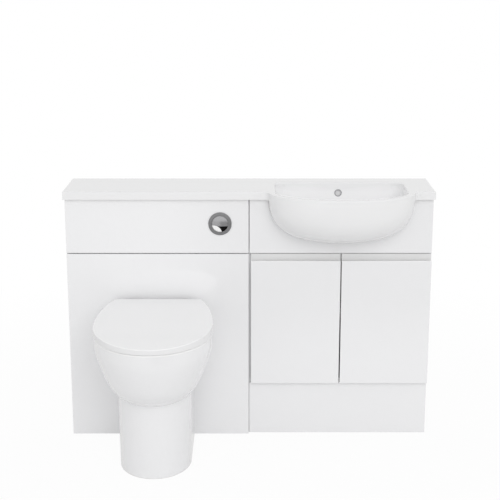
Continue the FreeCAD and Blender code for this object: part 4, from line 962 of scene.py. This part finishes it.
@dataclass
class VanityCabinet(SubAssembly):
    """Cupboard under the basin: boards, fascia, plinth, shelf and its fixings."""

    looks = {Look.GLOSS_BOARD: ("fascia", "plinth"),
             Look.SIDE_BOARD: ("vanity_side_left", "vanity_side_right"),
             Look.CARCASS_BOARD: ("vanity_base", "shelf"),
             Look.RAIL_BOARD: ("vanity_top_rail", "vanity_bottom_rail", "vanity_front_rail"),
             Look.STEEL: ("shelf_pegs", "worktop_brackets", "connecting_bolts"),
             Look.GREY_RUBBER: ("door_buffers",)}
    board: float = 0.016
    bracket_thickness: float = 0.003
    bracket_screw_inset: float = 0.0248
    bracket_screw_radius: float = 0.0042
    bolt_head_radius: float = 0.007
    bolt_recess_radius: float = 0.0056

    def build(self) -> None:
        """Set the bracket screws, the bolts' recesses and the joint caps."""
        self.bracket_screws()
        self.bolt_screws()
        self.fixings.rail_caps("rail_joint_caps", (
            ("vanity_bottom_rail", Facing.FRONT), ("vanity_top_rail", Facing.FRONT),
            ("vanity_front_rail", Facing.BACK)))

    def bracket_screws(self) -> None:
        """Set a screw in each flange of the worktop brackets."""
        low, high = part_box("worktop_brackets")
        middle = (low.y + high.y) / 2
        inset, thickness = self.bracket_screw_inset, self.bracket_thickness
        spots = []
        for face, sign in ((low.x, 1), (-self.board, -1), (self.board, 1), (high.x, -1)):
            upright = Vector((face + sign * thickness, middle, high.z - inset))
            level = Vector((face + sign * inset, middle, high.z - thickness))
            spots.append(Spot(upright, Facing.RIGHT if sign > 0 else Facing.LEFT))
            spots.append(Spot(level, Facing.DOWN))
        self.fixings.screws("bracket_screws", spots, self.bracket_screw_radius)

    def bolt_screws(self) -> None:
        """Set a driving recess on each head of the bolts between the cabinets."""
        low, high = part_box("connecting_bolts")
        middle = (low.y + high.y) / 2
        heights = (low.z + self.bolt_head_radius, high.z - self.bolt_head_radius)
        ends = ((low.x, Facing.LEFT), (high.x, Facing.RIGHT))
        spots = [Spot(Vector((x, middle, height)), facing)
                 for height in heights for x, facing in ends]
        self.fixings.screws("bolt_heads", spots, self.bolt_recess_radius)


@dataclass
class DoorSet(SubAssembly):
    """Both doors with their concealed hinges."""

    looks = {Look.DOOR: ("left_door", "right_door"),
             Look.STEEL: ("left_hinge_cups", "left_hinge_pins", "right_hinge_cups",
                          "right_hinge_pins", "hinge_arms", "hinge_plates")}
    wing_half_height: float = 0.028
    wing_screw_inset: float = 0.0045
    flange_radius: float = 0.02
    plate_base: float = 0.003
    plate_half_height: float = 0.024
    plate_screw_inset: float = 0.007
    screw_radius: float = 0.0036
    arm_screw_radius: float = 0.0032
    arm_screw_places: Span = (0.28, 0.72)

    def build(self) -> None:
        """Set the screws of the cups, the mounting plates and the arms."""
        left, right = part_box("left_hinge_cups"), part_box("right_hinge_cups")
        self.cup_screws("left_cup_screws", Body.LEFT_DOOR, left[0].x + self.flange_radius,
                        left[1].y)
        self.cup_screws("right_cup_screws", Body.RIGHT_DOOR, right[1].x - self.flange_radius,
                        right[1].y)
        self.plate_screws()
        self.arm_screws()

    def heights(self) -> Span:
        """Return the heights of the lower and the upper hinges."""
        low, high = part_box("left_hinge_cups")
        return low.z + self.wing_half_height, high.z - self.wing_half_height

    def cup_screws(self, title: str, body: Body, x: float, face: float) -> None:
        """Set two screws in the wings of each cup of a door.

        Args:
            title: Name of the piece.
            body: The door's body.
            x: Middle of the cups across the door.
            face: Rear face of the cups' wings.
        """
        reach = self.wing_half_height - self.wing_screw_inset
        spots = [Spot(Vector((x, face, height + side * reach)), Facing.BACK)
                 for height in self.heights() for side in (-1, 1)]
        self.fixings.screws(title, spots, self.screw_radius, body)

    def plate_screws(self) -> None:
        """Set two screws in each mounting plate."""
        low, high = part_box("hinge_plates")
        middle = (low.y + high.y) / 2
        reach = self.plate_half_height - self.plate_screw_inset
        faces = ((low.x + self.plate_base, Facing.RIGHT), (high.x - self.plate_base, Facing.LEFT))
        spots = [Spot(Vector((face, middle, height + side * reach)), facing)
                 for face, facing in faces for height in self.heights() for side in (-1, 1)]
        self.fixings.screws("plate_screws", spots, self.screw_radius)

    def arm_screws(self) -> None:
        """Set the two adjusting screws on each arm, over the plate's bed."""
        low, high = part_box("hinge_plates")
        places = [low.y + (high.y - low.y) * share for share in self.arm_screw_places]
        spots = [Spot(Vector((face, y, height)), facing)
                 for face, facing in self.arm_faces() for height in self.heights() for y in places]
        self.fixings.screws("arm_screws", spots, self.arm_screw_radius)

    def arm_faces(self) -> tuple[tuple[float, Facing], tuple[float, Facing]]:
        """Find the arms' inner faces from their own mesh.

        Returns:
            The left and the right face, each with its direction.
        """
        xs = [vertex.co.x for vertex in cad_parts["hinge_arms"].data.vertices]
        middle = (min(xs) + max(xs)) / 2
        left = max(x for x in xs if x < middle)
        right = min(x for x in xs if x > middle)
        return (left, Facing.RIGHT), (right, Facing.LEFT)


@dataclass
class ToiletCabinet(SubAssembly):
    """Cabinet that hides the cistern: sides, rails and front panels."""

    looks = {Look.GLOSS_BOARD: ("wc_upper_panel", "wc_lower_panel"),
             Look.SIDE_BOARD: ("wc_side_left", "wc_side_right"),
             Look.RAIL_BOARD: ("wc_top_rail", "wc_mid_rail", "wc_bottom_rail", "wc_front_rail")}

    def build(self) -> None:
        """Set cover caps on the rear face of the front rail, which the open back shows."""
        self.fixings.rail_caps("front_rail_caps", (("wc_front_rail", Facing.BACK),))


@dataclass
class Cistern(SubAssembly):
    """Hidden cistern: tank, cover, valves, flush pipe and seal."""

    looks = {Look.WHITE_PLASTIC: ("cistern_tank", "cistern_cover", "fill_valve", "fill_nut",
                                  "float_cup", "flush_valve_basket", "flush_lift_tube",
                                  "flush_nut", "flush_pipe"),
             Look.GREY_RUBBER: ("flush_seal",)}
    rib_count: int = 9
    rib_spacing: float = 0.042
    rib_radius: float = 0.006
    rib_depth: float = 0.003
    rib_clear_low: float = 0.116
    rib_clear_high: float = 0.066
    pipe_radius: float = 0.02
    bend_radius: float = 0.045

    def build(self) -> None:
        """Rib the tank's rear wall and bend the flush pipe."""
        self.tank_ribs()
        self.flush_pipe()

    def tank_ribs(self) -> None:
        """Set upright ribs on the tank's rear wall, clear of its top and its foot."""
        low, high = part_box("cistern_tank")
        bottom = low.z + self.rib_clear_low
        top = high.z - self.rib_clear_high
        run = self.rib_spacing * (self.rib_count - 1)
        start = Vector(((low.x + high.x - run) / 2, high.y, (bottom + top) / 2))
        sizes = {"Rib Count": self.rib_count, "Rib Spacing": self.rib_spacing,
                 "Rib Length": top - bottom, "Rib Radius": self.rib_radius,
                 "Rib Depth": self.rib_depth, "Row Start": start,
                 "Finish": self.palette[Look.WHITE_PLASTIC]}
        source = bpy.data.meshes.new("tank_ribs")
        ribs = self.fixings.wall_ribs.bake("tank_ribs", source, sizes)
        settle(ribs, Body.FRAME)

    def flush_pipe(self) -> None:
        """Sweep the flush pipe from the tank's tail down and forward to the pan."""
        low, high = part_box("flush_pipe")
        x = (low.x + high.x) / 2
        upright = high.y - self.pipe_radius
        level = low.z + self.pipe_radius
        path = [(x, upright, high.z), (x, upright, level), (x, low.y, level)]
        mesh = bpy.data.meshes.new("flush_pipe_path")
        mesh.from_pydata(path, [(0, 1), (1, 2)], [])
        sizes = {"Pipe Radius": self.pipe_radius, "Bend Radius": self.bend_radius,
                 "Finish": self.palette[Look.WHITE_PLASTIC]}
        pipe = self.fixings.bent_pipe.bake("bent_flush_pipe", mesh, sizes)
        settle(pipe, Body.FRAME, ("flush_pipe",))


@dataclass
class PushButton(SubAssembly):
    """Two-part flush button in its bezel, clamped through the upper panel."""

    looks = {Look.BEZEL: ("button_housing",), Look.DOME: ("full_flush_button",),
             Look.LENS: ("half_flush_button",), Look.WHITE_PLASTIC: ("button_nut",)}
    rib_count: int = 36
    rib_length_share: float = 0.8

    def build(self) -> None:
        """Set grip ribs round the ring nut behind the panel."""
        low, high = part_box("button_nut")
        spot = Spot(centre_of("button_nut"), Facing.BACK)
        length = (high.y - low.y) * self.rib_length_share
        radius = (high.x - low.x) / 2
        self.fixings.grips("button_nut_grips", spot, radius, length, self.rib_count)


@dataclass
class PanAndSeat(SubAssembly):
    """Glazed pan with its seat, lid and hinge posts."""

    looks = {Look.CERAMIC: ("pan",), Look.SEAT_PLASTIC: ("seat", "lid"),
             Look.CHROME: ("seat_hinge_posts",),
             Look.STEEL: ("seat_hinge_pins", "seat_fixing_bolts"),
             Look.GREY_RUBBER: ("seat_buffers", "lid_buffers")}


@dataclass
class Studio:
    """Pale floor, soft light and the camera at the photograph's angle."""

    camera_place: Triple = (0.003, -3.6095, 1.597)
    camera_tilt: float = 75.715
    camera_lens: float = 84.4
    camera_sensor: float = 36.0
    floor_half: float = 30.0
    floor_color: Triple = (0.88, 0.88, 0.88)
    shadow_reach: Span = (0.7, 2.2)
    shadow_share: float = 0.06
    sky_low: float = 0.9
    sky_high: float = 0.62
    sky_color: Triple = (1.0, 1.0, 1.0)
    key_place: Triple = (1.0, -5.0, 3.6)
    key_aim: Triple = (-0.1, 0.0, 0.45)
    key_size: float = 4.0
    key_power: float = 84.0
    mirrored_near: float = 0.76
    mirrored_left: float = 0.8
    mirrored_right: float = 0.4
    mirrored_side: Span = (-0.7, 0.1)
    mirrored_depth: Span = (-0.5, -1.7)

    def __post_init__(self) -> None:
        """Keep the scene that is set up."""
        self.scene = bpy.context.scene

    def build(self) -> None:
        """Set up the world, the floor, the lamp and the camera."""
        self.scene.view_settings.view_transform = "Standard"
        self.world()
        self.floor()
        self.key_lamp()
        self.camera()

    def seen(self, sketch: PaintSketch) -> Socket:
        """Find the rays that see white.

        Args:
            sketch: The world's or the floor's tree.

        Returns:
            1 for rays from the camera, from gloss and through glass, else 0.
        """
        rays = sketch.node("ShaderNodeLightPath").outputs
        seen = sketch.math("MAXIMUM", rays["Is Camera Ray"], rays["Is Glossy Ray"])
        return sketch.math("MAXIMUM", seen, rays["Is Transmission Ray"])

    def world(self) -> None:
        """Light the object evenly and show white behind it."""
        world = bpy.data.worlds.new("studio_world")
        world.use_nodes = True
        sketch = PaintSketch(world.node_tree)
        towards = sketch.add("ShaderNodeTexCoord", output="Generated")
        sky = sketch.spread(sketch.part(towards, Axis.Z), self.sky_low, self.sky_high)
        background = world.node_tree.nodes["Background"].inputs
        background["Color"].default_value = rgba(self.sky_color)
        sketch.feed(background["Strength"], sketch.math("MAXIMUM", sky, self.seen(sketch)))
        self.scene.world = world

    def floor(self) -> None:
        """Lay a pale level floor."""
        half = self.floor_half
        corners = [(-half, -half, 0.0), (half, -half, 0.0), (half, half, 0.0), (-half, half, 0.0)]
        mesh = bpy.data.meshes.new("studio_floor")
        mesh.from_pydata(corners, [], [(0, 1, 2, 3)])
        mesh.materials.append(self.floor_paint())
        sheet = bpy.data.objects.new("studio_floor", mesh)
        self.scene.collection.objects.link(sheet)

    def floor_paint(self) -> bpy.types.Material:
        """Make a floor that keeps the shadow, is white far off, and mirrors darker to the front.

        Returns:
            The floor's material.
        """
        material = bpy.data.materials.new("studio_floor")
        material.use_nodes = True
        nodes = material.node_tree.nodes
        nodes.remove(nodes["Principled BSDF"])
        sketch = PaintSketch(material.node_tree)
        place = sketch.place()
        distance = sketch.add("ShaderNodeVectorMath", {0: place}, "Value", operation="LENGTH")
        white = sketch.spread(distance, 1.0 - self.shadow_share, 1.0, *self.shadow_reach)
        share = sketch.math("MULTIPLY", white, self.seen(sketch))
        lit = sketch.add("ShaderNodeBsdfDiffuse", {"Color": rgba(self.floor_color)})
        glow = sketch.add("ShaderNodeEmission", {"Strength": 1.0})
        plain = sketch.layer(share, lit, glow)
        side = sketch.spread(sketch.part(place, Axis.X), self.mirrored_left, self.mirrored_right,
                             *self.mirrored_side, Ramp.SOFT)
        dim = sketch.spread(sketch.part(place, Axis.Y), self.mirrored_near, side,
                            *self.mirrored_depth, Ramp.SOFT)
        mirrored = sketch.add("ShaderNodeEmission", {"Strength": dim})
        glossy = sketch.add("ShaderNodeLightPath", output="Is Glossy Ray")
        whole = sketch.layer(glossy, plain, mirrored)
        sketch.feed(nodes["Material Output"].inputs["Surface"], whole)
        return material

    def key_lamp(self) -> None:
        """Hang one large soft lamp in front, above and to the right."""
        lamp = bpy.data.lights.new("key_lamp", "AREA")
        lamp.shape = "DISK"
        lamp.size = self.key_size
        lamp.energy = self.key_power
        holder = bpy.data.objects.new("key_lamp", lamp)
        place = Vector(self.key_place)
        turn = (Vector(self.key_aim) - place).to_track_quat("-Z", "Y")
        holder.matrix_world = Matrix.Translation(place) @ turn.to_matrix().to_4x4()
        holder.visible_glossy = False
        self.scene.collection.objects.link(holder)

    def camera(self) -> None:
        """Stand the camera where the photograph was taken."""
        lens = bpy.data.cameras.new("photo_camera")
        lens.lens = self.camera_lens
        lens.sensor_width = self.camera_sensor
        holder = bpy.data.objects.new("photo_camera", lens)
        holder.location = self.camera_place
        holder.rotation_euler = (math.radians(self.camera_tilt), 0.0, 0.0)
        self.scene.collection.objects.link(holder)
        self.scene.camera = holder


def main() -> None:
    """Build and dress every sub-assembly, then the studio."""
    logging.basicConfig(level=logging.INFO, format="%(name)s %(message)s")
    palette = {look: look.value.build() for look in Look}
    fixings = Fixings(palette)
    groups = (CastTop, BottleTrap, VanityCabinet, DoorSet, ToiletCabinet, Cistern, PushButton,
              PanAndSeat)
    for group in groups:
        part = group(palette, fixings)
        part.build()
        part.dress()
        LOG.info("%s done", group.__name__)
    Studio().build()


if __name__ == "__main__":
    main()
